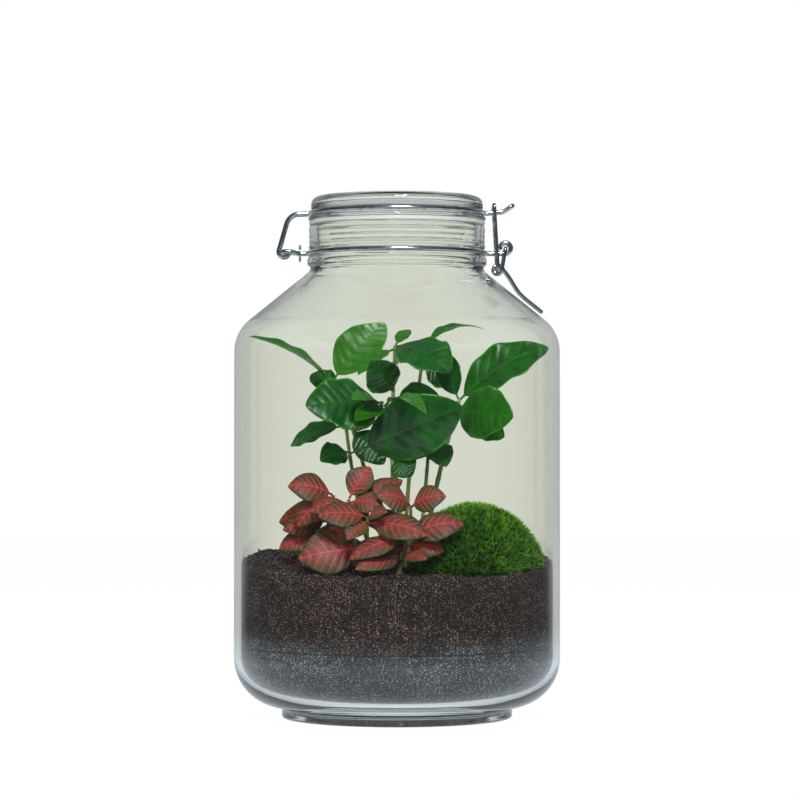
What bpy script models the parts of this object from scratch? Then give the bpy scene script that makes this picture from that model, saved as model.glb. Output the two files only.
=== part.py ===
"""Planted glass jar: a swing-top preserving jar of a little under five litres, used as a closed terrarium.

Units are metres in Blender and millimetres in the constants below. +Z is up, the jar
stands on z = 0, its axis is the Z axis, the hinge is at -X and the clasp at +X.
"""

import math

import bmesh
import bpy
from mathutils import Matrix, Vector

MM = 0.001
SEGMENTS = 40               # sides of every turned piece, so that facing walls run parallel
GAP = 0.3                   # clearance where one piece rests on another

# ---- jar ---------------------------------------------------------------------
BODY_RADIUS = 87.0
WALL = 3.2
FOOT_RADIUS = 61.5
FOOT_INNER_RADIUS = 52.0
FOOT_HEIGHT = 5.0
HEEL_RADIUS = 26.0          # rounding between the base and the straight wall
HEEL_CENTRE = (61.0, 32.0)
FLOOR_HEIGHT = 10.8
SHOULDER_START = 195.0
SHOULDER_RADIUS = 22.0      # rounding between the wall and the sloping shoulder
SHOULDER_SLOPE = 39.0       # degrees above horizontal
NECK_RADIUS = 46.5
NECK_START = 238.6
BORE_RADIUS = 42.0
BEAD_RADIUS = 48.0          # swelling that carries the neck wire
NECK_GROOVE_RADIUS = 46.3
NECK_WIRE_HEIGHT = 247.6
MOUTH_RADIUS = 47.2
RIM_HEIGHT = 262.5

# ---- lid and gasket ----------------------------------------------------------
GASKET_INNER, GASKET_OUTER = 43.0, 47.0
GASKET_BOTTOM = RIM_HEIGHT + GAP
GASKET_TOP = 264.8
LID_BOTTOM = GASKET_TOP + GAP
LID_FLANGE_RADIUS = 47.5
LID_GROOVE_RADIUS = 45.3
LID_WIRE_HEIGHT = 269.0
LID_TOP_RADIUS = 46.0
LID_EDGE_ROUNDING = 4.3
LID_BOSS_RADIUS = 40.5
LID_BOSS_BOTTOM = 261.0
LID_HOLLOW_RADIUS = 36.0
LID_HOLLOW_TOP = 273.5
JAR_HEIGHT = 278.0

# ---- wires -------------------------------------------------------------------
BAND_WIRE = 2.4             # diameter of the wire of the two bands
CLASP_WIRE = 2.0            # diameter of the wire of the link and the lever
TIE_WIRE = 1.2
NECK_BAND_RADIUS = NECK_GROOVE_RADIUS + GAP + BAND_WIRE / 2
LID_BAND_RADIUS = LID_GROOVE_RADIUS + GAP + BAND_WIRE / 2
HINGE_X, HINGE_Z = -60.6, 248.4
HINGE_LEG_Y = 3.2
HINGE_BAR_Y = 7.0
NECK_EAR_Y = 2.0
TIE_X = -52.0
TIE_RADIUS = 4.1
EYE_Y = 2.4
PIVOT_X = 58.0
EYE_RADIUS = 2.9
PIVOT_Z = NECK_WIRE_HEIGHT + EYE_RADIUS
LINK_X, LINK_Z = PIVOT_X - 4.2, PIVOT_Z - 11.5
LINK_TOP_X, LINK_TOP_Z = 51.8, 273.4
LINK_LEG_Y = 8.0
LEVER_ARM_Y = 5.0
LEVER_LEG_Y = 2.6
LEVER_TIP_Y = 2.0
TONGUE_Y = 2.2              # half spacing of the lid wire's tongue at the clasp

# ---- planting bed ------------------------------------------------------------
GRIT_TOP = 38.0
BED_CLEARANCE = 0.4
SOIL_LEVEL = 84.0
SOIL_RISE = 0.09            # rise of the soil for each millimetre towards the back
MOUND_HEIGHT = 3.0
MOUND_CENTRE = (-42.0, -26.0)
MOUND_WIDTH = 24.0
MOSS_CENTRE = (40.0, -32.0)
MOSS_HALF_WIDTH, MOSS_HALF_DEPTH = 34.0, 34.0
MOSS_HEIGHT = 34.0
MOSS_LIMIT = 82.0           # radius that the moss keeps inside the glass

LEAF_THICKNESS = 0.6
COFFEE_ROUNDNESS = 0.65     # smaller numbers fill the blade out towards its ends
FITTONIA_ROUNDNESS = 0.7

# Coffee seedlings: foot (x, y), top (x, y, z), sideways bow, radius at foot and top.
COFFEE_STEMS = {
    "coffee_stem_1": ((-13, -14), (-27, -16, 156), -1.5, 1.1, 0.9),
    "coffee_stem_2": ((-7, 18), (-34, 18, 181), 2.5, 1.2, 0.9),
    "coffee_stem_3": ((-1, 6), (-1, 8, 199), -1.5, 1.2, 0.9),
    "coffee_stem_4": ((4, -19), (-7, -22, 166), 1.0, 1.7, 1.2),
    "coffee_stem_5": ((4, 28), (15, 30, 199), -1.5, 1.2, 0.9),
    "coffee_stem_6": ((14, 4), (33, -4, 169), -1.5, 1.4, 1.1),
    "coffee_stem_7": ((11, -8), (17, -12, 147), 0.5, 1.1, 0.9),
}

# Leaves: stem, share of the stem's height, tip (x, y, z), width, arch, face, cup, stalk.
# Face is the way the upper side looks; stalk is the share of the length without blade.
COFFEE_LEAVES = {
    "coffee_leaf_01": ("coffee_stem_2", 0.97, (-80, 4, 205), 16, 3.5, (0.35, -0.25, 0.9), 0.25, 0.12),
    "coffee_leaf_02": ("coffee_stem_2", 1.0, (-7, 28, 217), 25, 2.0, (-0.1, -1.0, 0.2), 0.15, 0.05),
    "coffee_leaf_03": ("coffee_stem_3", 0.98, (-21, 1, 183), 12, 2.0, (-0.3, -0.6, 0.75), 0.2, 0.1),
    "coffee_leaf_04": ("coffee_stem_3", 1.0, (28, -15, 184), 30, 4.5, (0.1, -0.7, 0.7), 0.05, 0.06),
    "coffee_leaf_05": ("coffee_stem_5", 1.0, (48, 42, 213.5), 14, 7.5, (-0.3, -0.45, 0.9), 0.2, 0.1),
    "coffee_leaf_06": ("coffee_stem_6", 1.0, (81, -4, 198), 28, 6.0, (-0.45, -0.75, 0.5), 0.15, 0.06),
    "coffee_leaf_07": ("coffee_stem_6", 0.94, (60, -34, 160), 29, 3.0, (0.1, -1.0, 0.1), -0.05, 0.08),
    "coffee_leaf_08": ("coffee_stem_6", 0.9, (58, 4, 150), 20, 3.0, (0.1, -0.8, 0.5), 0.1, 0.1),
    "coffee_leaf_09": ("coffee_stem_6", 1.0, (25, 10, 195), 15, 1.5, (-0.4, -0.9, 0.1), 0.15, 0.1),
    "coffee_leaf_10": ("coffee_stem_4", 0.99, (-47, -42, 166), 33, 3.5, (-0.1, -0.85, 0.5), -0.05, 0.06),
    "coffee_leaf_11": ("coffee_stem_1", 0.79, (34, -37, 165.5), 34, 2.0, (0.05, -1.0, 0.0), -0.03, 0.17),
    "coffee_leaf_12": ("coffee_stem_4", 1.0, (-23, -52, 169), 13, 1.5, (0.1, -0.6, 0.8), 0.35, 0.1),
    "coffee_leaf_13": ("coffee_stem_4", 1.0, (15, -55, 162), 11, 6.0, (0.0, -0.35, 0.9), 0.3, 0.1),
    "coffee_leaf_14": ("coffee_stem_1", 0.99, (-57, -2, 145), 15, 3.0, (-0.2, -0.7, 0.7), 0.1, 0.12),
    "coffee_leaf_15": ("coffee_stem_1", 0.8, (-40, -26, 137), 16, 2.0, (-0.1, -0.85, 0.5), 0.1, 0.1),
    "coffee_leaf_16": ("coffee_stem_2", 0.71, (-7, 8, 135), 18, 2.0, (0.1, -1.0, 0.2), 0.1, 0.1),
    "coffee_leaf_17": ("coffee_stem_4", 0.66, (8, -26, 129), 16, 2.0, (0.2, -0.95, 0.2), 0.1, 0.1),
    "coffee_leaf_18": ("coffee_stem_7", 1.0, (26, -22, 134), 16, 2.0, (0.3, -0.9, 0.3), 0.1, 0.1),
    "coffee_leaf_19": ("coffee_stem_4", 0.98, (-21, -57, 158), 12, 1.5, (0.1, -0.7, 0.7), 0.2, 0.1),
    "coffee_leaf_20": ("coffee_stem_3", 0.78, (-14, -8, 190), 20, 2.0, (-0.1, -1.0, 0.2), 0.1, 0.08),
}

FITTONIA_STEMS = {
    "fittonia_stem_1": ((5, -36), (7, -41, 114), 1.0, 1.1, 0.8),
    "fittonia_stem_2": ((-13, -50), (-15, -56, 108), -1.0, 1.1, 0.8),
    "fittonia_stem_3": ((-22, -38), (-25, -43, 117), 1.0, 1.1, 0.8),
    "fittonia_stem_4": ((-36, -28), (-33, -34, 119), -1.5, 1.2, 0.8),
    "fittonia_stem_5": ((1, -57), (4, -61, 98), 1.0, 1.1, 0.8),
}

FITTONIA_LEAVES = {
    "fittonia_leaf_01": ("fittonia_stem_1", 1.0, (-10, -52, 119), 19, 3.5, (-0.1, -0.8, 0.6), -0.1, 0.1),
    "fittonia_leaf_02": ("fittonia_stem_1", 0.97, (25, -48, 119), 17, 3.5, (0.1, -0.8, 0.6), -0.1, 0.1),
    "fittonia_leaf_03": ("fittonia_stem_2", 1.0, (-40, -63, 109), 18, 3.0, (-0.1, -0.75, 0.65), -0.1, 0.08),
    "fittonia_leaf_04": ("fittonia_stem_2", 0.88, (15, -69, 99), 19, 3.5, (0.1, -0.75, 0.65), -0.1, 0.1),
    "fittonia_leaf_05": ("fittonia_stem_2", 0.9, (-25, -71, 97), 12, 2.0, (-0.1, -0.85, 0.5), 0.1, 0.12),
    "fittonia_leaf_06": ("fittonia_stem_3", 0.93, (-44, -54, 111), 17, 3.0, (-0.2, -0.7, 0.7), -0.1, 0.1),
    "fittonia_leaf_07": ("fittonia_stem_3", 1.0, (-14, -38, 134), 15, 2.0, (-0.2, -0.95, 0.2), 0.1, 0.1),
    "fittonia_leaf_08": ("fittonia_stem_3", 0.95, (-7, -51, 113), 15, 3.0, (0.0, -0.75, 0.65), -0.1, 0.1),
    "fittonia_leaf_09": ("fittonia_stem_4", 1.0, (-56, -42, 124), 19, 3.5, (0.1, -0.8, 0.6), -0.1, 0.1),
    "fittonia_leaf_10": ("fittonia_stem_4", 0.95, (-51, -46, 103), 19, 4.0, (-0.45, -0.8, 0.4), -0.1, 0.1),
    "fittonia_leaf_11": ("fittonia_stem_2", 0.42, (-50, -61, 87), 25, 3.0, (-0.1, -0.92, 0.4), -0.05, 0.16),
    "fittonia_leaf_12": ("fittonia_stem_5", 1.0, (34, -64, 105), 18, 4.0, (-0.1, -0.8, 0.6), -0.1, 0.1),
    "fittonia_leaf_13": ("fittonia_stem_2", 1.0, (-5, -68, 111), 10, 1.5, (-0.2, -0.8, 0.6), 0.1, 0.12),
    "fittonia_leaf_14": ("fittonia_stem_5", 0.95, (-24, -70, 87), 14, 3.0, (-0.1, -0.7, 0.7), -0.1, 0.08),
    "fittonia_leaf_15": ("fittonia_stem_5", 0.35, (-21, -74, 82), 12, 3.0, (-0.1, -0.8, 0.6), -0.1, 0.1),
    "fittonia_leaf_16": ("fittonia_stem_4", 0.75, (-62, -22, 105), 17, 3.0, (-0.6, -0.6, 0.5), -0.1, 0.1),
    "fittonia_leaf_17": ("fittonia_stem_4", 0.4, (-61, -36, 91), 16, 3.0, (-0.4, -0.75, 0.55), -0.1, 0.1),
}


# ---- helpers -----------------------------------------------------------------
def clear_scene():
    """Remove every object that the scene starts with."""
    for scene_object in list(bpy.data.objects):
        bpy.data.objects.remove(scene_object, do_unlink=True)


def material(name, colour, roughness, metallic=0.0, transmission=0.0):
    """Return a Principled material of one colour."""
    made = bpy.data.materials.new(name)
    made.use_nodes = True
    shader = made.node_tree.nodes["Principled BSDF"]
    shader.inputs["Base Color"].default_value = (*colour, 1.0)
    shader.inputs["Roughness"].default_value = roughness
    shader.inputs["Metallic"].default_value = metallic
    shader.inputs["Transmission Weight"].default_value = transmission
    made.diffuse_color = (*colour, 1.0)
    return made


def add_mesh(name, mesh_data, surface, parent=None):
    """Turn a bmesh in millimetres into a smooth-shaded object in metres."""
    bmesh.ops.recalc_face_normals(mesh_data, faces=mesh_data.faces)
    bmesh.ops.scale(mesh_data, vec=(MM, MM, MM), verts=mesh_data.verts)
    mesh = bpy.data.meshes.new(name)
    mesh_data.to_mesh(mesh)
    mesh_data.free()
    mesh.shade_smooth()
    mesh.set_sharp_from_angle(angle=math.radians(35))
    return place(name, mesh, surface, parent)


def place(name, data, surface, parent):
    """Link an object and, under a joint's empty, give it its origin on the joint's axis."""
    made = bpy.data.objects.new(name, data)
    bpy.context.scene.collection.objects.link(made)
    made.data.materials.append(surface)
    if parent is not None:
        made.parent = parent
        offset = Matrix.Translation(-parent.location)
        made.data.transform(offset)
    return made


def joint_empty(name, x, z):
    """Add the empty that marks a joint's axis, which runs along Y."""
    empty = bpy.data.objects.new(name, None)
    empty.location = (x * MM, 0.0, z * MM)
    bpy.context.scene.collection.objects.link(empty)
    return empty


def arc(centre, radius, start, end, steps):
    """Return points (r, z) along an arc, with its angles in degrees."""
    points = []
    for step in range(steps + 1):
        angle = math.radians(start + (end - start) * step / steps)
        points.append((centre[0] + radius * math.cos(angle), centre[1] + radius * math.sin(angle)))
    return points


def turned(outline, closed=False):
    """Spin an outline of (r, z) points round the Z axis into a bmesh."""
    made = bmesh.new()
    verts = [made.verts.new((radius, 0.0, height)) for radius, height in outline]
    pairs = list(zip(verts, verts[1:]))
    if closed:
        pairs.append((verts[-1], verts[0]))
    edges = [made.edges.new(pair) for pair in pairs]
    bmesh.ops.spin(made, geom=verts + edges, cent=(0, 0, 0), axis=(0, 0, 1),
                   angle=2 * math.pi, steps=SEGMENTS, use_merge=True)
    bmesh.ops.remove_doubles(made, verts=made.verts, dist=0.0001)
    return made


def wire(name, points, diameter, surface, parent=None, cyclic=False, radii=None):
    """Add a round wire along a list of points in millimetres."""
    curve = bpy.data.curves.new(name, "CURVE")
    curve.dimensions = "3D"
    curve.bevel_depth = diameter / 2 * MM
    curve.bevel_resolution = 1
    curve.render_resolution_u = 0
    curve.use_fill_caps = not cyclic
    spline = curve.splines.new("POLY")
    spline.points.add(len(points) - 1)
    for index, point in enumerate(points):
        spline.points[index].co = (*(Vector(point) * MM), 1.0)
        if radii is not None:
            spline.points[index].radius = radii[index]
    spline.use_cyclic_u = cyclic
    spline.use_smooth = True
    return place(name, curve, surface, parent)


def rounded(corners, radius, steps=4):
    """Replace each inner corner of a route by an arc-like curve of the given reach."""
    route = [Vector(corners[0])]
    for before, corner, after in zip(corners, corners[1:], corners[2:]):
        before, corner, after = Vector(before), Vector(corner), Vector(after)
        reach_in = min(radius, (before - corner).length * 0.45)
        reach_out = min(radius, (after - corner).length * 0.45)
        start = corner + (before - corner).normalized() * reach_in
        end = corner + (after - corner).normalized() * reach_out
        for step in range(steps + 1):
            share = step / steps
            route.append(start.lerp(corner, share).lerp(corner.lerp(end, share), share))
    route.append(Vector(corners[-1]))
    return route


def ring_angles(first, last):
    """Return the facet angles, in degrees, that lie between two angles."""
    step = 360.0 / SEGMENTS
    if first < last:
        return [index * step for index in range(-SEGMENTS, SEGMENTS) if first < index * step < last]
    return list(reversed(ring_angles(last, first)))


def ring_points(radius, height, first, last):
    """Return points along a band between two angles, at the facet corners."""
    angles = [first] + ring_angles(first, last) + [last]
    points = []
    for angle in angles:
        turn = math.radians(angle)
        points.append((radius * math.cos(turn), radius * math.sin(turn), height))
    return points


def mirrored(points):
    """Mirror a route in the XZ plane and run it the other way."""
    return [(x, -y, z) for x, y, z in reversed([tuple(point) for point in points])]


# ---- jar, lid and gasket -----------------------------------------------------
def shoulder(outset):
    """Return the shoulder outline from the straight wall up to the neck.

    Outset is 0 for the outside of the glass and the wall's thickness for the inside.
    """
    centre = (BODY_RADIUS - SHOULDER_RADIUS, SHOULDER_START)
    end = 90.0 - SHOULDER_SLOPE
    return arc(centre, SHOULDER_RADIUS - outset, 0.0, end, 4)


def heel_inside(clearance):
    """Return the inside of the bottom rounding, from the floor up to the wall."""
    width = BODY_RADIUS - WALL - clearance - HEEL_CENTRE[0]
    depth = HEEL_CENTRE[1] - FLOOR_HEIGHT - clearance
    return [(HEEL_CENTRE[0] + width * x, HEEL_CENTRE[1] + depth * z) for x, z in arc((0.0, 0.0), 1.0, -90.0, 0.0, 4)]


def jar_outline():
    """Return the closed half section of the jar, from the underside to the inner floor."""
    foot = [(0.0, 3.6), (FOOT_INNER_RADIUS - 4.0, 3.6), (FOOT_INNER_RADIUS, 0.0), (FOOT_RADIUS - 0.8, 0.0),
            (FOOT_RADIUS, 0.8), (FOOT_RADIUS, FOOT_HEIGHT)]
    heel = arc(HEEL_CENTRE, HEEL_RADIUS, -84.0, 0.0, 6)
    neck_fillet = [(53.0, 233.0), (49.6, 235.4), (47.4, 237.1), (NECK_RADIUS, NECK_START)]
    bead = [(NECK_RADIUS, 240.5), (BEAD_RADIUS, 241.4), (BEAD_RADIUS, NECK_WIRE_HEIGHT - 2.6),
            (NECK_GROOVE_RADIUS, NECK_WIRE_HEIGHT - 1.8)]
    mouth = [(NECK_GROOVE_RADIUS, NECK_WIRE_HEIGHT + 1.8), (MOUTH_RADIUS, NECK_WIRE_HEIGHT + 2.5),
             (MOUTH_RADIUS, RIM_HEIGHT - 1.4), (MOUTH_RADIUS - 1.2, RIM_HEIGHT)]
    bore = [(BORE_RADIUS + 0.8, RIM_HEIGHT), (BORE_RADIUS, RIM_HEIGHT - 1.0), (BORE_RADIUS, 237.4),
            (BORE_RADIUS + 3.2, 234.2)]
    inner_shoulder = list(reversed(shoulder(WALL)))
    inner_heel = list(reversed(heel_inside(0.0)))
    floor = [(0.0, FLOOR_HEIGHT)]
    return foot + heel + shoulder(0.0) + neck_fillet + bead + mouth + bore + inner_shoulder + inner_heel + floor


def lid_outline():
    """Return the half section of the lid: a flanged cap with a ring boss and a hollow underside."""
    edge = arc((LID_TOP_RADIUS - LID_EDGE_ROUNDING, JAR_HEIGHT - LID_EDGE_ROUNDING), LID_EDGE_ROUNDING, 0.0, 90.0, 4)
    return [
        (0.0, LID_HOLLOW_TOP), (LID_HOLLOW_RADIUS - 3.0, LID_HOLLOW_TOP), (LID_HOLLOW_RADIUS, LID_HOLLOW_TOP - 3.0),
        (LID_HOLLOW_RADIUS, LID_BOSS_BOTTOM + 0.8), (LID_HOLLOW_RADIUS + 1.0, LID_BOSS_BOTTOM),
        (LID_BOSS_RADIUS - 1.0, LID_BOSS_BOTTOM), (LID_BOSS_RADIUS, LID_BOSS_BOTTOM + 1.0),
        (LID_BOSS_RADIUS, LID_BOTTOM), (LID_FLANGE_RADIUS - 0.6, LID_BOTTOM), (LID_FLANGE_RADIUS, LID_BOTTOM + 0.6),
        (LID_FLANGE_RADIUS, LID_WIRE_HEIGHT - 2.3), (LID_GROOVE_RADIUS, LID_WIRE_HEIGHT - 1.5),
        (LID_GROOVE_RADIUS, LID_WIRE_HEIGHT + 1.5), (LID_TOP_RADIUS, LID_WIRE_HEIGHT + 2.2),
    ] + edge + [(0.0, JAR_HEIGHT)]


def gasket_outline():
    """Return the section of the flat sealing ring."""
    return [(GASKET_INNER, GASKET_BOTTOM), (GASKET_OUTER, GASKET_BOTTOM),
            (GASKET_OUTER, GASKET_TOP), (GASKET_INNER, GASKET_TOP)]


def make_jar(glass):
    """Add the jar body."""
    add_mesh("jar_body", turned(jar_outline()), glass)


def make_lid(glass, seal, lid_axis):
    """Add the glass lid and its gasket, which swing on the hinge."""
    add_mesh("lid_glass", turned(lid_outline()), glass, lid_axis)
    add_mesh("lid_gasket", turned(gasket_outline(), closed=True), seal, lid_axis)


# ---- wires -------------------------------------------------------------------
def half_turn(x, z, radius, y, start, end, steps):
    """Return points on a circle in the XZ plane, at one y, with angles in degrees."""
    return [(px, y, pz) for px, pz in arc((x, z), radius, start, end, steps)]


def make_neck_wire(steel):
    """Add the neck band: one wire with a hinge bar at the left and two eyes at the right."""
    ear_angle = math.degrees(math.asin(EYE_Y / NECK_BAND_RADIUS))
    hinge_angle = 180.0 - math.degrees(math.asin(NECK_EAR_Y / NECK_BAND_RADIUS))
    eye = half_turn(PIVOT_X, PIVOT_Z, EYE_RADIUS, EYE_Y, 195.0, -90.0, 14)
    band = ring_points(NECK_BAND_RADIUS, NECK_WIRE_HEIGHT, ear_angle, hinge_angle)
    hinge_ear = rounded([band[-1], (-53.4, NECK_EAR_Y, NECK_WIRE_HEIGHT), (-56.0, HINGE_BAR_Y, HINGE_Z),
                         (HINGE_X, HINGE_BAR_Y, HINGE_Z), (HINGE_X, 0.0, HINGE_Z)], 1.6)
    rear = eye + band + hinge_ear[1:]
    wire("neck_wire", rear + mirrored(rear)[1:], BAND_WIRE, steel)


def make_hinge_tie(steel):
    """Add the small ring that holds the two neck wires together beside the hinge."""
    points = []
    for step in range(16):
        angle = 2 * math.pi * step / 16
        points.append((TIE_X, TIE_RADIUS * math.cos(angle), NECK_WIRE_HEIGHT + TIE_RADIUS * math.sin(angle)))
    wire("hinge_tie_ring", points, TIE_WIRE, steel, cyclic=True)


def make_lid_wire(steel, lid_axis):
    """Add the lid band: one wire with a tongue at the clasp and two legs curled round the hinge bar."""
    curl_radius = BAND_WIRE + GAP
    tongue_angle = math.degrees(math.asin(TONGUE_Y / LID_BAND_RADIUS))
    leg_angle = 180.0 - math.degrees(math.asin(HINGE_LEG_Y / LID_BAND_RADIUS))
    tongue = rounded([(61.8, 0.0, 273.2), (61.8, TONGUE_Y, 273.2), (57.2, TONGUE_Y, 270.0),
                      (49.0, TONGUE_Y, LID_WIRE_HEIGHT)], 1.8)
    band = ring_points(LID_BAND_RADIUS, LID_WIRE_HEIGHT, tongue_angle, leg_angle)
    curl = half_turn(HINGE_X, HINGE_Z, curl_radius, HINGE_LEG_Y, 165.0, 385.0, 12)
    leg = rounded([band[-1], (-55.4, HINGE_LEG_Y, 268.5), (-58.6, HINGE_LEG_Y, 265.3), curl[0]], 2.4)
    rear = tongue[:-1] + band + leg[1:-1] + curl
    wire("lid_wire", mirrored(rear) + rear[1:], BAND_WIRE, steel, lid_axis)


def make_link(steel, link_axis):
    """Add the closed link: its lower bar turns in the lever, its upper bar presses on the tongue."""
    corners = [(LINK_X, 0.0, LINK_Z), (LINK_X, LINK_LEG_Y, LINK_Z),
               (LINK_TOP_X, LINK_LEG_Y, LINK_TOP_Z), (LINK_TOP_X, 0.0, LINK_TOP_Z)]
    half = rounded(corners, 1.8)
    wire("clasp_link", half + mirrored(half)[1:-1], CLASP_WIRE, steel, link_axis, cyclic=True)


def make_lever(steel, lever_axis):
    """Add the lever: a bar in the eyes, two arms, a coil round the link's bar and a long handle."""
    coil_radius = CLASP_WIRE + GAP
    leave = math.degrees(math.asin(0.6))
    turn = 360.0 - leave
    steps = 16
    coil = []
    for step in range(steps + 1):
        share = step / steps
        angle = math.radians(-turn * share)
        y = LEVER_ARM_Y + (LEVER_LEG_Y - LEVER_ARM_Y) * share
        coil.append((LINK_X + coil_radius * math.cos(angle), y, LINK_Z + coil_radius * math.sin(angle)))
    arm = rounded([(PIVOT_X, 0.0, PIVOT_Z), (PIVOT_X, LEVER_ARM_Y, PIVOT_Z), coil[0]], 1.4)
    handle = rounded([coil[-1], (59.8, LEVER_LEG_Y, 235.2), (64.6, LEVER_LEG_Y, 227.2), (67.8, LEVER_TIP_Y, 224.0),
                      (77.2, LEVER_TIP_Y, 216.4), (77.2, 0.0, 216.4)], 2.4)
    side = arm[:-1] + coil + handle[1:]
    wire("clasp_lever", side + mirrored(side)[1:-1], CLASP_WIRE, steel, lever_axis, cyclic=True)


# ---- planting bed ------------------------------------------------------------
def soil_height(x, y):
    """Return the height of the soil surface, which rises to the back and under the foliage."""
    spread = ((x - MOUND_CENTRE[0]) ** 2 + (y - MOUND_CENTRE[1]) ** 2) / MOUND_WIDTH ** 2
    return SOIL_LEVEL + SOIL_RISE * y + MOUND_HEIGHT * math.exp(-spread)


def make_grit(grit):
    """Add the drainage layer, which fills the rounded bottom of the jar."""
    heel = heel_inside(BED_CLEARANCE)
    outline = [(0.0, FLOOR_HEIGHT + GAP)] + heel + [(heel[-1][0], GRIT_TOP), (0.0, GRIT_TOP)]
    add_mesh("drainage_grit", turned(outline), grit)


def make_soil(earth):
    """Add the potting soil, a disc whose top follows the soil surface."""
    radius = BODY_RADIUS - WALL - BED_CLEARANCE
    rings = 7
    top = [(radius * step / rings, SOIL_LEVEL) for step in range(rings, -1, -1)]
    made = turned([(0.0, GRIT_TOP + GAP), (radius, GRIT_TOP + GAP)] + top)
    for vert in made.verts:
        if vert.co.z > GRIT_TOP + 1.0:
            vert.co.z = soil_height(vert.co.x, vert.co.y)
    add_mesh("potting_soil", made, earth)


def moss_reach(angle):
    """Return how far the moss reaches from its centre in one direction, inside the glass."""
    across, along = math.cos(angle), math.sin(angle)
    reach = 1.0 / math.hypot(across / MOSS_HALF_WIDTH, along / MOSS_HALF_DEPTH)
    dot = MOSS_CENTRE[0] * across + MOSS_CENTRE[1] * along
    square = MOSS_CENTRE[0] ** 2 + MOSS_CENTRE[1] ** 2
    glass = -dot + math.sqrt(dot ** 2 + MOSS_LIMIT ** 2 - square)
    return min(reach, glass)


def make_moss(moss):
    """Add the moss cushion: a dome that stands on the soil and leans on the glass."""
    made = bmesh.new()
    sides, levels = 28, 6
    rings = []
    for level in range(levels):
        height = math.sin(math.radians(90.0 * level / levels))
        shrink = math.cos(math.radians(90.0 * level / levels)) ** 1.05
        ring = []
        for side in range(sides):
            angle = 2 * math.pi * side / sides
            reach = moss_reach(angle) * shrink
            x = MOSS_CENTRE[0] + reach * math.cos(angle)
            y = MOSS_CENTRE[1] + reach * math.sin(angle)
            base = soil_height(x, y) + BED_CLEARANCE
            ring.append(made.verts.new((x, y, base + MOSS_HEIGHT * height)))
        rings.append(ring)
    crown = made.verts.new((*MOSS_CENTRE, soil_height(*MOSS_CENTRE) + BED_CLEARANCE + MOSS_HEIGHT))
    foot = made.verts.new((*MOSS_CENTRE, soil_height(*MOSS_CENTRE) + BED_CLEARANCE))
    for lower, upper in zip(rings, rings[1:]):
        for side in range(sides):
            after = (side + 1) % sides
            made.faces.new((lower[side], lower[after], upper[after], upper[side]))
    for side in range(sides):
        after = (side + 1) % sides
        made.faces.new((rings[-1][side], rings[-1][after], crown))
        made.faces.new((rings[0][after], rings[0][side], foot))
    add_mesh("moss_cushion", made, moss)


# ---- plants ------------------------------------------------------------------
def stem_point(stem, share):
    """Return the point at a share of a stem's height."""
    (foot_x, foot_y), top, bow, _, _ = stem
    foot = Vector((foot_x, foot_y, soil_height(foot_x, foot_y) + BED_CLEARANCE))
    point = foot.lerp(Vector(top), share)
    point.x += bow * 4.0 * share * (1.0 - share)
    return point


def make_stem(name, stem, bark):
    """Add one stem, thicker at its foot."""
    foot_radius, top_radius = stem[3], stem[4]
    steps = 8
    points = [stem_point(stem, step / steps) for step in range(steps + 1)]
    radii = [1.0 + (top_radius / foot_radius - 1.0) * step / steps for step in range(steps + 1)]
    wire(name, points, foot_radius * 2, bark, radii=radii)


def blade_width(share, roundness):
    """Return the relative half width of a blade, widest before its middle."""
    return math.sin(math.pi * share ** 0.95) ** roundness


def make_leaf(name, leaf, stems, blade, roundness):
    """Add one leaf: a stalk that starts beside its stem and a blade arched along its midrib."""
    stem_name, share, tip, width, arch, face, cup, stalk = leaf
    stem = stems[stem_name]
    start = stem_point(stem, share)
    tip = Vector(tip)
    radius = stem[3] + (stem[4] - stem[3]) * share
    outward = (tip - start).normalized()
    if share < 1.0:
        outward = (outward - Vector((0, 0, 1)) * outward.z * 0.9).normalized()
    base = start + outward * (radius + 0.5)
    chord = tip - base
    normal = Vector(face)
    normal = (normal - chord * (normal.dot(chord) / chord.length_squared)).normalized()
    side = chord.cross(normal).normalized()
    made = bmesh.new()
    stations, across = 8, 4
    rows = []
    for station in range(stations):
        along = station / (stations - 1)
        middle = base + chord * along + normal * (arch * 4.0 * along * (1.0 - along))
        blade_share = max(0.0, (along - stalk) / (1.0 - stalk))
        half = max(0.65, width / 2 * blade_width(min(blade_share, 1.0), roundness))
        if station == stations - 1:
            half = 0.5
        row = []
        for step in range(across + 1):
            sideways = 2.0 * step / across - 1.0
            row.append(made.verts.new(middle + side * half * sideways + normal * (cup * half * sideways ** 2)))
        rows.append(row)
    for near, far in zip(rows, rows[1:]):
        for step in range(across):
            made.faces.new((near[step], near[step + 1], far[step + 1], far[step]))
    leaf_object = add_mesh(name, made, blade)
    thicken = leaf_object.modifiers.new("blade_thickness", "SOLIDIFY")
    thicken.thickness = LEAF_THICKNESS * MM
    thicken.offset = 0.0
    return leaf_object


def make_plants(bark, coffee_green, soft_stem, fittonia_red):
    """Add the coffee seedlings and the nerve plants."""
    for name, stem in COFFEE_STEMS.items():
        make_stem(name, stem, bark)
    for name, leaf in COFFEE_LEAVES.items():
        make_leaf(name, leaf, COFFEE_STEMS, coffee_green, COFFEE_ROUNDNESS)
    for name, stem in FITTONIA_STEMS.items():
        make_stem(name, stem, soft_stem)
    for name, leaf in FITTONIA_LEAVES.items():
        make_leaf(name, leaf, FITTONIA_STEMS, fittonia_red, FITTONIA_ROUNDNESS)


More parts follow.
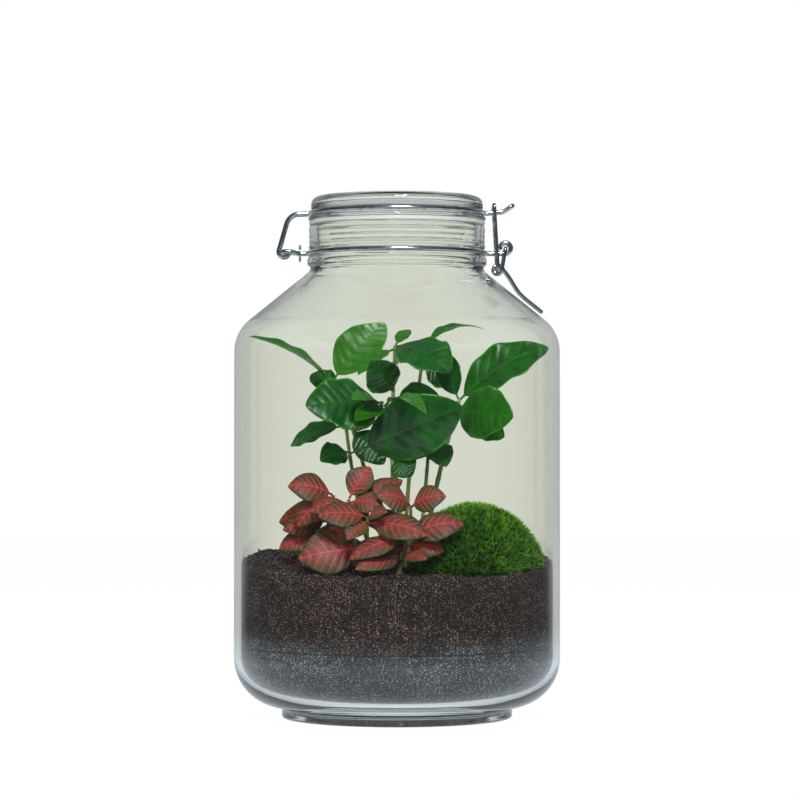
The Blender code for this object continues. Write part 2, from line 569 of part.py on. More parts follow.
def main():
    """Build the whole terrarium."""
    clear_scene()
    glass = material("clear_glass", (0.93, 0.97, 0.95), 0.02, transmission=1.0)
    seal = material("clear_silicone", (0.85, 0.87, 0.85), 0.35, transmission=0.6)
    steel = material("bright_steel_wire", (0.62, 0.65, 0.68), 0.25, metallic=1.0)
    grit = material("drainage_grit", (0.11, 0.12, 0.13), 0.85)
    earth = material("potting_soil", (0.05, 0.042, 0.042), 0.95)
    moss = material("cushion_moss", (0.03, 0.10, 0.01), 0.9)
    bark = material("coffee_stem", (0.20, 0.25, 0.08), 0.6)
    coffee_green = material("coffee_leaf", (0.02, 0.13, 0.02), 0.25)
    soft_stem = material("fittonia_stem", (0.20, 0.14, 0.06), 0.6)
    fittonia_red = material("fittonia_leaf", (0.16, 0.05, 0.04), 0.5)

    lid_axis = joint_empty("lid_hinge_axis", HINGE_X, HINGE_Z)
    lever_axis = joint_empty("clasp_lever_axis", PIVOT_X, PIVOT_Z)
    link_axis = joint_empty("clasp_link_axis", LINK_X, LINK_Z)

    make_jar(glass)
    make_lid(glass, seal, lid_axis)
    make_neck_wire(steel)
    make_hinge_tie(steel)
    make_lid_wire(steel, lid_axis)
    make_link(steel, link_axis)
    make_lever(steel, lever_axis)
    make_grit(grit)
    make_soil(earth)
    make_moss(moss)
    make_plants(bark, coffee_green, soft_stem, fittonia_red)


main()
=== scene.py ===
"""Looks of the planted glass jar: glass, wirework, planting bed, moss, coffee seedlings and nerve plants.

Lengths are metres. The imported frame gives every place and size; where a plant needs its route,
the route's points in millimetres repeat the ones that the frame's solids were made from.
"""

import logging
import math
from dataclasses import dataclass, field
from enum import Enum

import bmesh
import bpy
import numpy as np
from bpy.types import Material, Mesh, Node, NodeSocket, NodeTree, Object
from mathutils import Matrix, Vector, noise


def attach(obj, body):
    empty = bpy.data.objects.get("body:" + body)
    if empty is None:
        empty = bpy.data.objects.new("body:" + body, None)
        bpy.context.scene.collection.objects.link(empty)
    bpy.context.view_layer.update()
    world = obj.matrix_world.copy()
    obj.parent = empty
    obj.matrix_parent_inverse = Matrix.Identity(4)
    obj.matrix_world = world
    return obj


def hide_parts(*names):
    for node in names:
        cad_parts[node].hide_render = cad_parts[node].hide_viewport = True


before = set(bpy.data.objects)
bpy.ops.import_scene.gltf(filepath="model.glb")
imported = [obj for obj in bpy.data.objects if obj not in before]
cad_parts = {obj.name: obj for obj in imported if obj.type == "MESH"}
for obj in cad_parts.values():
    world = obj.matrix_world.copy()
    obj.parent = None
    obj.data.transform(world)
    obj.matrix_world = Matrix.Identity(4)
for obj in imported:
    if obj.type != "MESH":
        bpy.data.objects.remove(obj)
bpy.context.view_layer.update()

LOG = logging.getLogger("terrarium")
MM = 0.001
SEED = 20
HEEL_CENTRE = (61.0, 32.0)      # centre of the rounding at the jar's base, in millimetres
SOIL_LEVEL = 84.0
SOIL_RISE = 0.09                # rise of the soil for each millimetre towards the back
MOUND_HEIGHT = 3.0
MOUND_CENTRE = (-42.0, -26.0)
MOUND_WIDTH = 24.0

Pair = tuple[float, float]
Place = tuple[float, float, float]
Colour = tuple[float, float, float, float]
Outline = list[Pair]


# ---- small shader helpers ------------------------------------------------------
class Tree:
    """A thin wrapper round a node tree that adds and joins nodes."""

    def __init__(self, tree: NodeTree) -> None:
        """Keep the tree that nodes are added to."""
        self.tree = tree

    def node(self, kind: str, **values: object) -> Node:
        """Add a node.

        Args:
            kind: the node's Blender type.
            values: attributes of the node, such as operation.

        Returns:
            The new node.
        """
        made = self.tree.nodes.new(kind)
        for name, value in values.items():
            setattr(made, name, value)
        return made

    def set(self, socket: NodeSocket, value: object) -> None:
        """Join a socket to an output, or set its constant.

        Args:
            socket: the input.
            value: an output socket, a number or a tuple.
        """
        if isinstance(value, NodeSocket):
            self.tree.links.new(value, socket)
        else:
            socket.default_value = value

    def math(self, operation: str, first: object, second: object = 0.0, clamp: bool = False) -> NodeSocket:
        """Add a Math node.

        Args:
            operation: the Math node's operation.
            first: its first input.
            second: its second input.
            clamp: whether the result stays from 0 to 1.

        Returns:
            The node's output.
        """
        made = self.node("ShaderNodeMath", operation=operation, use_clamp=clamp)
        self.set(made.inputs[0], first)
        self.set(made.inputs[1], second)
        return made.outputs[0]

    def span(self, value: object, low: float, high: float, out_low: float = 0.0,
             out_high: float = 1.0) -> NodeSocket:
        """Map a range of a value to another range, smoothly and clamped.

        Args:
            value: the value to map.
            low: the value that gives out_low.
            high: the value that gives out_high.
            out_low: the first result.
            out_high: the last result.

        Returns:
            The mapped value.
        """
        made = self.node("ShaderNodeMapRange", interpolation_type="SMOOTHSTEP")
        self.set(made.inputs["Value"], value)
        limits = {"From Min": low, "From Max": high, "To Min": out_low, "To Max": out_high}
        for name, number in limits.items():
            made.inputs[name].default_value = number
        return made.outputs["Result"]

    def mix(self, share: object, first: object, second: object, blend: str = "MIX") -> NodeSocket:
        """Mix two colours.

        Args:
            share: how much of the second colour.
            first: the first colour.
            second: the second colour.
            blend: the blend type.

        Returns:
            The mixed colour.
        """
        made = self.node("ShaderNodeMix", data_type="RGBA", blend_type=blend)
        self.set(made.inputs[0], share)
        self.set(made.inputs[6], first)
        self.set(made.inputs[7], second)
        return made.outputs[2]

    def noise(self, place: object, scale: float, detail: float = 3.0, rough: float = 0.55) -> NodeSocket:
        """Add a noise texture.

        Args:
            place: the coordinates.
            scale: features for each metre.
            detail: octaves.
            rough: roughness of the octaves.

        Returns:
            The noise value.
        """
        made = self.node("ShaderNodeTexNoise")
        self.set(made.inputs["Vector"], place)
        made.inputs["Scale"].default_value = scale
        made.inputs["Detail"].default_value = detail
        made.inputs["Roughness"].default_value = rough
        return made.outputs["Fac"]

    def place(self) -> NodeSocket:
        """Return the shaded point's place in the scene."""
        return self.node("ShaderNodeNewGeometry").outputs["Position"]

    def split(self, vector: NodeSocket) -> list[NodeSocket]:
        """Return the X, Y and Z of a vector."""
        made = self.node("ShaderNodeSeparateXYZ")
        self.set(made.inputs[0], vector)
        return list(made.outputs)

    def bump(self, shader: Node, height: NodeSocket, strength: float, distance: float) -> None:
        """Give a shader a bump.

        Args:
            shader: the shader.
            height: the height that bends the normal.
            strength: the bump's strength.
            distance: the height's size in metres.
        """
        made = self.node("ShaderNodeBump")
        made.inputs["Strength"].default_value = strength
        made.inputs["Distance"].default_value = distance
        self.set(made.inputs["Height"], height)
        self.set(shader.inputs["Normal"], made.outputs["Normal"])

    def blend(self, output: Node, share: object, first: NodeSocket, second: NodeSocket) -> None:
        """Show a mix of two shaders.

        Args:
            output: the material's output.
            share: how much of the second shader.
            first: the first shader.
            second: the second shader.
        """
        made = self.node("ShaderNodeMixShader")
        for socket, value in zip(made.inputs, (share, first, second)):
            self.set(socket, value)
        self.set(output.inputs["Surface"], made.outputs["Shader"])


def rgb(red: float, green: float, blue: float) -> Colour:
    """Return a linear colour from display values of 0 to 255."""
    def linear(value: float) -> float:
        """Return one channel's linear share."""
        share = value / 255.0
        return share / 12.92 if share <= 0.04045 else ((share + 0.055) / 1.055) ** 2.4
    return (linear(red), linear(green), linear(blue), 1.0)


def new_material(name: str) -> tuple[Material, Tree, Node, Node]:
    """Make a material with one Principled shader.

    Args:
        name: the material's name.

    Returns:
        The material, its tree, the Principled node and the output node.
    """
    made = bpy.data.materials.new(name)
    made.use_nodes = True
    tree = Tree(made.node_tree)
    made.node_tree.nodes.clear()
    shader = tree.node("ShaderNodeBsdfPrincipled")
    output = tree.node("ShaderNodeOutputMaterial")
    tree.set(output.inputs["Surface"], shader.outputs["BSDF"])
    return made, tree, shader, output


def new_group(name: str, inputs: dict[str, object],
              outputs: dict[str, str]) -> tuple[NodeTree, Tree, Node, Node]:
    """Make a shader node group.

    Args:
        name: the group's name.
        inputs: input names with their default values; a tuple of four makes a colour, of three a vector.
        outputs: output names with their socket types.

    Returns:
        The group, its tree wrapper, its input node and its output node.
    """
    group = bpy.data.node_groups.new(name, "ShaderNodeTree")
    for label, value in inputs.items():
        kind = "NodeSocketFloat"
        if isinstance(value, tuple):
            kind = "NodeSocketColor" if len(value) == 4 else "NodeSocketVector"
        socket = group.interface.new_socket(name=label, in_out="INPUT", socket_type=kind)
        socket.default_value = value
    for label, kind in outputs.items():
        group.interface.new_socket(name=label, in_out="OUTPUT", socket_type=kind)
    tree = Tree(group)
    return group, tree, tree.node("NodeGroupInput"), tree.node("NodeGroupOutput")


@dataclass
class Effects:
    """The shader node groups that more than one finish uses."""

    speckle: NodeTree = field(init=False)
    mottle: NodeTree = field(init=False)
    scuff: NodeTree = field(init=False)

    def __post_init__(self) -> None:
        """Build every group once."""
        self.speckle = self.build_speckle()
        self.mottle = self.build_mottle()
        self.scuff = self.build_scuff()

    @staticmethod
    def build_speckle() -> NodeTree:
        """Build grains: cells of random brightness, some pale, each darkened towards its edge with painted
        shade in the gaps between grains, with a height for each grain.
        """
        inputs = {"Grain Size": 0.0012, "Dark": (0.01, 0.01, 0.01, 1.0), "Middle": (0.05, 0.04, 0.04, 1.0),
                  "Pale": (0.4, 0.38, 0.35, 1.0), "Pale Share": 0.12}
        outputs = {"Color": "NodeSocketColor", "Height": "NodeSocketFloat", "Grain": "NodeSocketFloat"}
        group, tree, given, result = new_group("loose_grain", inputs, outputs)
        place = tree.place()
        warp = tree.node("ShaderNodeTexNoise", noise_dimensions="3D")
        warp.inputs["Scale"].default_value = 1300.0
        tree.set(warp.inputs["Vector"], place)
        shift = tree.node("ShaderNodeVectorMath", operation="SCALE")
        tree.set(shift.inputs[0], warp.outputs["Color"])
        shift.inputs["Scale"].default_value = 0.0003
        warped = tree.node("ShaderNodeVectorMath", operation="ADD")
        tree.set(warped.inputs[0], place)
        tree.set(warped.inputs[1], shift.outputs[0])
        scale = tree.math("DIVIDE", 1.0, given.outputs["Grain Size"])
        cells = tree.node("ShaderNodeTexVoronoi", feature="F1")
        tree.set(cells.inputs["Vector"], warped.outputs[0])
        tree.set(cells.inputs["Scale"], scale)
        split = tree.node("ShaderNodeSeparateColor")
        tree.set(split.inputs[0], cells.outputs["Color"])
        shade = tree.math("POWER", split.outputs[0], 1.6)
        tone = tree.mix(shade, given.outputs["Dark"], given.outputs["Middle"])
        edge = tree.math("SUBTRACT", 1.0, given.outputs["Pale Share"])
        pale = tree.math("GREATER_THAN", split.outputs[1], edge)
        near = tree.span(cells.outputs["Distance"], 0.25, 0.5, 1.0, 0.0)
        pale_mask = tree.math("MULTIPLY", pale, near)
        tone = tree.mix(pale_mask, tone, given.outputs["Pale"])
        clump = tree.span(tree.noise(place, 70.0, 4.0), 0.3, 0.7, 0.55, 1.25)
        tone = tree.mix(1.0, tone, clump, "MULTIPLY")
        # painted shade: each grain darkens towards its edge, where the gaps between grains lie
        gap = tree.span(cells.outputs["Distance"], 0.35, 0.75, 1.0, 0.25)
        tone = tree.mix(1.0, tone, gap, "MULTIPLY")
        tree.set(result.inputs["Color"], tone)
        height = tree.math("SUBTRACT", 1.0, cells.outputs["Distance"])
        tree.set(result.inputs["Height"], height)
        tree.set(result.inputs["Grain"], split.outputs[2])
        return group

    @staticmethod
    def build_mottle() -> NodeTree:
        """Build the slow change of tone over a leaf or stem, with fine pores for its bump."""
        inputs = {"Base": (0.1, 0.3, 0.1, 1.0), "Other": (0.2, 0.4, 0.1, 1.0), "Scale": 120.0, "Amount": 0.5}
        outputs = {"Color": "NodeSocketColor", "Pores": "NodeSocketFloat"}
        group, tree, given, result = new_group("leaf_mottle", inputs, outputs)
        place = tree.place()
        broad = tree.node("ShaderNodeTexNoise")
        tree.set(broad.inputs["Vector"], place)
        tree.set(broad.inputs["Scale"], given.outputs["Scale"])
        broad.inputs["Detail"].default_value = 4.0
        share = tree.math("MULTIPLY", tree.span(broad.outputs["Fac"], 0.35, 0.65), given.outputs["Amount"])
        tree.set(result.inputs["Color"], tree.mix(share, given.outputs["Base"], given.outputs["Other"]))
        tree.set(result.inputs["Pores"], tree.noise(place, 2600.0, 2.0))
        return group

    @staticmethod
    def build_scuff() -> NodeTree:
        """Build faint handling marks: a roughness and a height that change over wire, silicone or a leaf's
        skin.
        """
        inputs = {"Roughness": 0.2, "Spread": 0.1, "Scale": 300.0}
        outputs = {"Roughness": "NodeSocketFloat", "Height": "NodeSocketFloat"}
        group, tree, given, result = new_group("handling_scuff", inputs, outputs)
        place = tree.place()
        marks = tree.node("ShaderNodeTexNoise")
        tree.set(marks.inputs["Vector"], place)
        tree.set(marks.inputs["Scale"], given.outputs["Scale"])
        marks.inputs["Detail"].default_value = 5.0
        centred = tree.math("SUBTRACT", marks.outputs["Fac"], 0.5)
        offset = tree.math("MULTIPLY", centred, given.outputs["Spread"])
        tree.set(result.inputs["Roughness"], tree.math("ADD", given.outputs["Roughness"], offset, clamp=True))
        tree.set(result.inputs["Height"], marks.outputs["Fac"])
        return group

    @staticmethod
    def use(tree: Tree, group: NodeTree, **values: object) -> Node:
        """Place a group in a material.

        Args:
            tree: the material's tree.
            group: the group.
            values: its inputs, with underscores for spaces.

        Returns:
            The group node.
        """
        made = tree.node("ShaderNodeGroup")
        made.node_tree = group
        for name, value in values.items():
            tree.set(made.inputs[name.replace("_", " ")], value)
        return made


# ---- finishes --------------------------------------------------------------------
@dataclass(frozen=True)
class GlassFinish:
    """Clear pressed glass with a faint tint and very slight waviness."""

    name: str = "jar_glass"
    tint: Colour = (0.955, 0.975, 0.968, 1.0)
    ior: float = 1.47
    waviness: float = 0.05

    def build(self, effects: Effects) -> Material:
        """Build the material; light passes to the planting through a plain tinted layer.

        Args:
            effects: the shared node groups; not used.

        Returns:
            The material.
        """
        made, tree, shader, output = new_material(self.name)
        shader.inputs["Base Color"].default_value = self.tint
        shader.inputs["Roughness"].default_value = 0.0
        shader.inputs["IOR"].default_value = self.ior
        shader.inputs["Transmission Weight"].default_value = 1.0
        tree.bump(shader, tree.noise(tree.place(), 28.0, 1.0), self.waviness, 0.0006)
        clear = tree.node("ShaderNodeBsdfTransparent")
        clear.inputs["Color"].default_value = (0.93, 0.95, 0.94, 1.0)
        path = tree.node("ShaderNodeLightPath")
        tree.blend(output, path.outputs["Is Shadow Ray"], shader.outputs["BSDF"], clear.outputs["BSDF"])
        return made


@dataclass(frozen=True)
class SealFinish:
    """Pale translucent silicone."""

    name: str = "seal_silicone"
    colour: Colour = rgb(226, 230, 226)

    def build(self, effects: Effects) -> Material:
        """Build the material.

        Args:
            effects: the shared node groups.

        Returns:
            The material.
        """
        made, tree, shader, _ = new_material(self.name)
        shader.inputs["Base Color"].default_value = self.colour
        shader.inputs["Transmission Weight"].default_value = 0.55
        shader.inputs["IOR"].default_value = 1.41
        marks = effects.use(tree, effects.scuff, Roughness=0.38, Spread=0.25, Scale=240.0)
        tree.set(shader.inputs["Roughness"], marks.outputs["Roughness"])
        return made


@dataclass(frozen=True)
class WireFinish:
    """Bright drawn steel wire, with a faint bump and dull patches spread by noise."""

    name: str = "steel_wire"
    bright: Colour = rgb(214, 219, 226)
    dull: Colour = rgb(150, 158, 168)

    def build(self, effects: Effects) -> Material:
        """Build the material.

        Args:
            effects: the shared node groups.

        Returns:
            The material.
        """
        made, tree, shader, _ = new_material(self.name)
        shader.inputs["Metallic"].default_value = 1.0
        marks = effects.use(tree, effects.scuff, Roughness=0.2, Spread=0.25, Scale=420.0)
        tree.set(shader.inputs["Roughness"], marks.outputs["Roughness"])
        share = tree.span(marks.outputs["Height"], 0.45, 0.75)
        tree.set(shader.inputs["Base Color"], tree.mix(share, self.bright, self.dull))
        tree.bump(shader, marks.outputs["Height"], 0.12, 0.0001)
        return made


@dataclass(frozen=True)
class Grains:
    """The tones and the size of one sort of loose grain."""

    size: float
    dark: Colour
    middle: Colour
    pale: Colour
    pale_share: float


@dataclass(frozen=True)
class BedFinish:
    """Potting soil that sinks into drainage grit along an uneven line."""

    name: str
    soil: Grains = Grains(0.00058, rgb(17, 12, 10), rgb(88, 69, 61), rgb(176, 156, 147), 0.2)
    grit: Grains = Grains(0.00066, rgb(36, 36, 37), rgb(106, 103, 106), rgb(186, 186, 190), 0.24)
    boundary: float = 0.039
    rise: float = 0.006
    reach: float = 0.084
    roughness: float = 0.9

    def grains(self, tree: Tree, effects: Effects, sort: Grains) -> Node:
        """Place the grain group with one sort's values."""
        return effects.use(tree, effects.speckle, Grain_Size=sort.size, Dark=sort.dark, Middle=sort.middle,
                           Pale=sort.pale, Pale_Share=sort.pale_share)

    def build(self, effects: Effects) -> Material:
        """Build the material.

        Args:
            effects: the shared node groups.

        Returns:
            The material.
        """
        made, tree, shader, _ = new_material(self.name)
        place = tree.place()
        across, _, up = tree.split(place)
        side = tree.math("POWER", tree.math("ABSOLUTE", tree.math("DIVIDE", across, self.reach)), 2.0)
        line = tree.math("ADD", self.boundary, tree.math("MULTIPLY", side, self.rise))
        drift = tree.math("MULTIPLY", tree.math("SUBTRACT", tree.noise(place, 38.0, 2.0), 0.5), 0.016)
        ragged = tree.math("MULTIPLY", tree.math("SUBTRACT", tree.noise(place, 420.0, 3.0), 0.5), 0.007)
        level = tree.math("SUBTRACT", tree.math("ADD", up, tree.math("ADD", drift, ragged)), line)
        soil = self.grains(tree, effects, self.soil)
        grit = self.grains(tree, effects, self.grit)
        above = tree.span(level, -0.0006, 0.0006)
        tree.set(shader.inputs["Base Color"], tree.mix(above, grit.outputs["Color"], soil.outputs["Color"]))
        shader.inputs["Roughness"].default_value = self.roughness
        tree.bump(shader, soil.outputs["Height"], 0.8, self.soil.size * 0.5)
        return made


@dataclass(frozen=True)
class MossFinish:
    """Moss blades, dark at the root with painted shade deep among the blades, and yellow-green at the tip,
    partly the tips' own paler green and partly painted light; each a little different.
    """

    name: str = "moss_blade"
    # root: painted shade deep among the blades; tip: the tips' own paler green with painted light on it
    root: Colour = rgb(16, 38, 7)
    middle: Colour = rgb(44, 98, 14)
    tip: Colour = rgb(124, 182, 48)

    def build(self, effects: Effects) -> Material:
        """Build the material.

        Args:
            effects: the shared node groups.

        Returns:
            The material.
        """
        made, tree, shader, _ = new_material(self.name)
        own, along, _ = tree.split(tree.node("ShaderNodeUVMap", uv_map="blade").outputs["UV"])
        # painted shade darkens each blade towards its root; towards the tip it pales, partly its own colour
        # and partly painted light
        lower = tree.mix(tree.span(along, 0.0, 0.6), self.root, self.middle)
        colour = tree.mix(tree.span(along, 0.45, 1.0), lower, self.tip)
        variety = effects.use(tree, effects.mottle, Base=(0.62, 0.72, 0.5, 1.0), Other=(1.35, 1.25, 1.0, 1.0),
                              Scale=150.0, Amount=1.0)
        colour = tree.mix(1.0, colour, variety.outputs["Color"], "MULTIPLY")
        colour = tree.mix(1.0, colour, tree.span(own, 0.0, 1.0, 0.55, 1.4), "MULTIPLY")
        tree.set(shader.inputs["Base Color"], colour)
        shader.inputs["Roughness"].default_value = 0.55
        return made


@dataclass(frozen=True)
class StemFinish:
    """Thin plant stem, its tone wandering between a darker and a paler green."""

    name: str
    low: Colour
    high: Colour
    roughness: float = 0.45

    def build(self, effects: Effects) -> Material:
        """Build the material.

        Args:
            effects: the shared node groups.

        Returns:
            The material.
        """
        made, tree, shader, _ = new_material(self.name)
        tone = effects.use(tree, effects.mottle, Base=self.low, Other=self.high, Scale=90.0, Amount=0.9)
        tree.set(shader.inputs["Base Color"], tone.outputs["Color"])
        shader.inputs["Roughness"].default_value = self.roughness
        tree.bump(shader, tone.outputs["Pores"], 0.3, 0.0002)
        return made


class Veining(Enum):
    """How a leaf's veins run."""

    FEATHER = "pale midrib with thin curved side veins"
    NET = "broad coloured midrib, side veins and a fine net between them"


@dataclass(frozen=True)
class LeafFinish:
    """A leaf blade: tone, veins and gloss."""

    name: str
    veining: Veining
    blade: Colour
    other: Colour
    vein: Colour
    rim: Colour
    underside: Colour
    roughness: float
    coat: float
    side_veins: float = 8.0

    def vein_mask(self, tree: Tree, along: NodeSocket, across: NodeSocket,
                  lateral: NodeSocket) -> tuple[NodeSocket, NodeSocket]:
        """Build the vein masks from the blade's own coordinates.

        Args:
            tree: the material's tree.
            along: share of the blade's length.
            across: distance from the midrib, 0 to 1.
            lateral: width of the blade at this place, as a share of its widest.

        Returns:
            The vein mask and the height of the tissue between veins.
        """
        broad = self.veining is Veining.NET
        thick = 0.085 if broad else 0.04
        taper = tree.span(along, 0.0, 1.0, thick, thick * 0.35)
        centred = tree.math("DIVIDE", tree.math("MULTIPLY", across, lateral), taper)
        midrib = tree.math("SUBTRACT", 1.0, centred, clamp=True)
        place = tree.place()
        drift = tree.math("SUBTRACT", tree.noise(place, 160.0, 2.0), 0.5)
        wobble = tree.math("MULTIPLY", drift, 0.5 if broad else 0.25)
        lean = tree.math("MULTIPLY", tree.math("POWER", across, 1.35), 0.26 if broad else 0.2)
        swept = tree.math("SUBTRACT", along, tree.math("MULTIPLY", lean, lateral))
        phase = tree.math("ADD", tree.math("MULTIPLY", swept, self.side_veins), wobble)
        saw = tree.math("FRACT", phase)
        distance = tree.math("ABSOLUTE", tree.math("SUBTRACT", saw, 0.5))
        side_width = 0.105 if broad else 0.035
        fade = tree.span(across, 0.55, 0.98, 1.0, 0.25)
        side = tree.math("MULTIPLY", tree.span(distance, 0.0, side_width, 1.0, 0.0), fade)
        mask = tree.math("MAXIMUM", midrib, side)
        height = tree.span(distance, 0.0, 0.42)
        if broad:
            net = tree.node("ShaderNodeTexVoronoi", feature="DISTANCE_TO_EDGE")
            tree.set(net.inputs["Vector"], place)
            net.inputs["Scale"].default_value = 760.0
            threads = tree.span(net.outputs["Distance"], 0.01, 0.08, 0.42, 0.0)
            web = tree.math("MULTIPLY", threads, tree.span(across, 0.5, 0.95, 1.0, 0.1))
            mask = tree.math("MAXIMUM", mask, web)
        return mask, height

    def build(self, effects: Effects) -> Material:
        """Build the material.

        Args:
            effects: the shared node groups.

        Returns:
            The material.
        """
        made, tree, shader, output = new_material(self.name)
        along, over, _ = tree.split(tree.node("ShaderNodeUVMap", uv_map="blade").outputs["UV"])
        width, youth, _ = tree.split(tree.node("ShaderNodeUVMap", uv_map="form").outputs["UV"])
        across = tree.math("ABSOLUTE", tree.math("SUBTRACT", tree.math("MULTIPLY", over, 2.0), 1.0))
        mask, height = self.vein_mask(tree, along, across, width)
        tone = effects.use(tree, effects.mottle, Base=self.blade, Other=self.other, Scale=140.0, Amount=0.8)
        fresh = tree.mix(youth, tone.outputs["Color"], self.rim)
        broad = self.veining is Veining.NET
        flush = tree.span(across, 0.0, 0.7, 0.14 if broad else 0.0, 0.0)
        rim = tree.span(across, 0.66 if broad else 0.86, 1.0)
        colour = tree.mix(rim, tree.mix(flush, fresh, self.vein), self.rim)
        strength = 0.92 if broad else 0.6
        colour = tree.mix(tree.math("MULTIPLY", mask, strength), colour, self.vein)
        back = tree.node("ShaderNodeNewGeometry").outputs["Backfacing"]
        colour = tree.mix(tree.math("MULTIPLY", back, 0.75), colour, self.underside)
        tree.set(shader.inputs["Base Color"], colour)
        marks = effects.use(tree, effects.scuff, Roughness=self.roughness, Spread=0.16, Scale=260.0)
        tree.set(shader.inputs["Roughness"], marks.outputs["Roughness"])
        shader.inputs["Coat Weight"].default_value = self.coat
        shader.inputs["Coat Roughness"].default_value = 0.09
        tree.bump(shader, tree.math("SUBTRACT", height, tree.math("MULTIPLY", mask, 0.5)), 0.4, 0.0004)
        glow = tree.node("ShaderNodeBsdfTranslucent")
        tree.set(glow.inputs["Color"], tree.mix(0.5, colour, self.other))
        tree.blend(output, 0.16, shader.outputs["BSDF"], glow.outputs["BSDF"])
        return made


# ---- mesh helpers ------------------------------------------------------------------
def add_piece(name: str, mesh: Mesh, surface: Material, body: str,
              replaced: tuple[str, ...] = ()) -> Object:
    """Link a mesh as a piece that rides on a body.

    Args:
        name: the piece's name.
        mesh: its mesh, in metres.
        surface: its material.
        body: the body that it rides on.
        replaced: the frame's nodes that it stands for.

    Returns:
        The object.
    """
    made = bpy.data.objects.new(name, mesh)
    bpy.context.scene.collection.objects.link(made)
    mesh.materials.append(surface)
    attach(made, body)
    if replaced:
        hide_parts(*replaced)
    LOG.info("built %s: %d faces", name, len(mesh.polygons))
    return made


def lathe(outline: Outline, sides: int, closed: bool = False) -> Mesh:
    """Turn an outline of (radius, height) in metres round the Z axis.

    Args:
        outline: the half section; a point on the axis closes that end.
        sides: how many steps the turn has.
        closed: whether the section is a ring that never meets the axis.

    Returns:
        A smooth-shaded mesh.
    """
    made = bmesh.new()
    verts = [made.verts.new((radius, 0.0, height)) for radius, height in outline]
    pairs = list(zip(verts, verts[1:]))
    if closed:
        pairs.append((verts[-1], verts[0]))
    edges = [made.edges.new(pair) for pair in pairs]
    bmesh.ops.spin(made, geom=verts + edges, cent=(0, 0, 0), axis=(0, 0, 1), angle=2 * math.pi,
                   steps=sides, use_merge=True)
    bmesh.ops.remove_doubles(made, verts=made.verts, dist=1e-7)
    bmesh.ops.recalc_face_normals(made, faces=made.faces)
    mesh = bpy.data.meshes.new("turned")
    made.to_mesh(mesh)
    made.free()
    mesh.shade_smooth()
    return mesh


def arc(centre: Pair, radius: float, start: float, end: float, steps: int) -> Outline:
    """Return points along an arc, with its angles in degrees."""
    points = []
    for step in range(steps + 1):
        angle = math.radians(start + (end - start) * step / steps)
        points.append((centre[0] + radius * math.cos(angle), centre[1] + radius * math.sin(angle)))
    return points


def soften(outline: Outline, reach: float, steps: int = 4) -> Outline:
    """Round every corner of an outline, and split its long runs.

    Args:
        outline: the points.
        reach: how far from a corner its rounding starts.
        steps: points in each rounding.

    Returns:
        The finer outline.
    """
    result = [outline[0]]
    for before, corner, after in zip(outline, outline[1:], outline[2:]):
        here = Vector(corner)
        to_before, to_after = Vector(before) - here, Vector(after) - here
        start = here + to_before.normalized() * min(reach, to_before.length * 0.45)
        end = here + to_after.normalized() * min(reach, to_after.length * 0.45)
        for step in range(steps + 1):
            share = step / steps
            result.append(tuple(start.lerp(here, share).lerp(here.lerp(end, share), share)))
    result.append(outline[-1])
    return result


def millimetres(outline: Outline) -> Outline:
    """Return an outline given in millimetres as metres."""
    return [(radius * MM, height * MM) for radius, height in outline]


def mesh_from_arrays(name: str, verts: np.ndarray, faces: np.ndarray) -> Mesh:
    """Make a smooth mesh from arrays.

    Args:
        name: the mesh's name.
        verts: points, one row each.
        faces: corner numbers, one row for each face of the same number of corners.

    Returns:
        The mesh.
    """
    mesh = bpy.data.meshes.new(name)
    mesh.from_pydata(verts.tolist(), [], faces.tolist())
    mesh.shade_smooth()
    return mesh


def set_uv(mesh: Mesh, name: str, values: np.ndarray) -> None:
    """Store a coordinate pair for each vertex as a UV map.

    Args:
        mesh: the mesh.
        name: the map's name.
        values: one pair for each vertex.
    """
    layer = mesh.uv_layers.new(name=name)
    corners = np.empty(len(mesh.loops), dtype=np.int32)
    mesh.loops.foreach_get("vertex_index", corners)
    layer.data.foreach_set("uv", values[corners].astype(np.float32).ravel())


def ring_faces(rings: int, sides: int) -> list[tuple[int, ...]]:
    """Return the faces between rings of points, each ring above the last.

    Args:
        rings: how many bands of faces there are.
        sides: points in each ring.

    Returns:
        The corners of each face.
    """
    faces = []
    for ring in range(rings):
        low, high = ring * sides, (ring + 1) * sides
        for side in range(sides):
            after = (side + 1) % sides
            faces.append((low + side, low + after, high + after, high + side))
    return faces


def heel_inside(radius: float, floor: float, steps: int) -> Outline:
    """Return the rounding between a floor and an upright wall inside the jar.

    Args:
        radius: the wall's radius in millimetres.
        floor: the floor's height in millimetres.
        steps: points along the rounding.

    Returns:
        Points of (radius, height) from the floor up to the wall.
    """
    turn = arc((0.0, 0.0), 1.0, -90.0, 0.0, steps)
    centre_r, centre_z = HEEL_CENTRE
    return [(centre_r + (radius - centre_r) * x, centre_z + (centre_z - floor) * z) for x, z in turn]


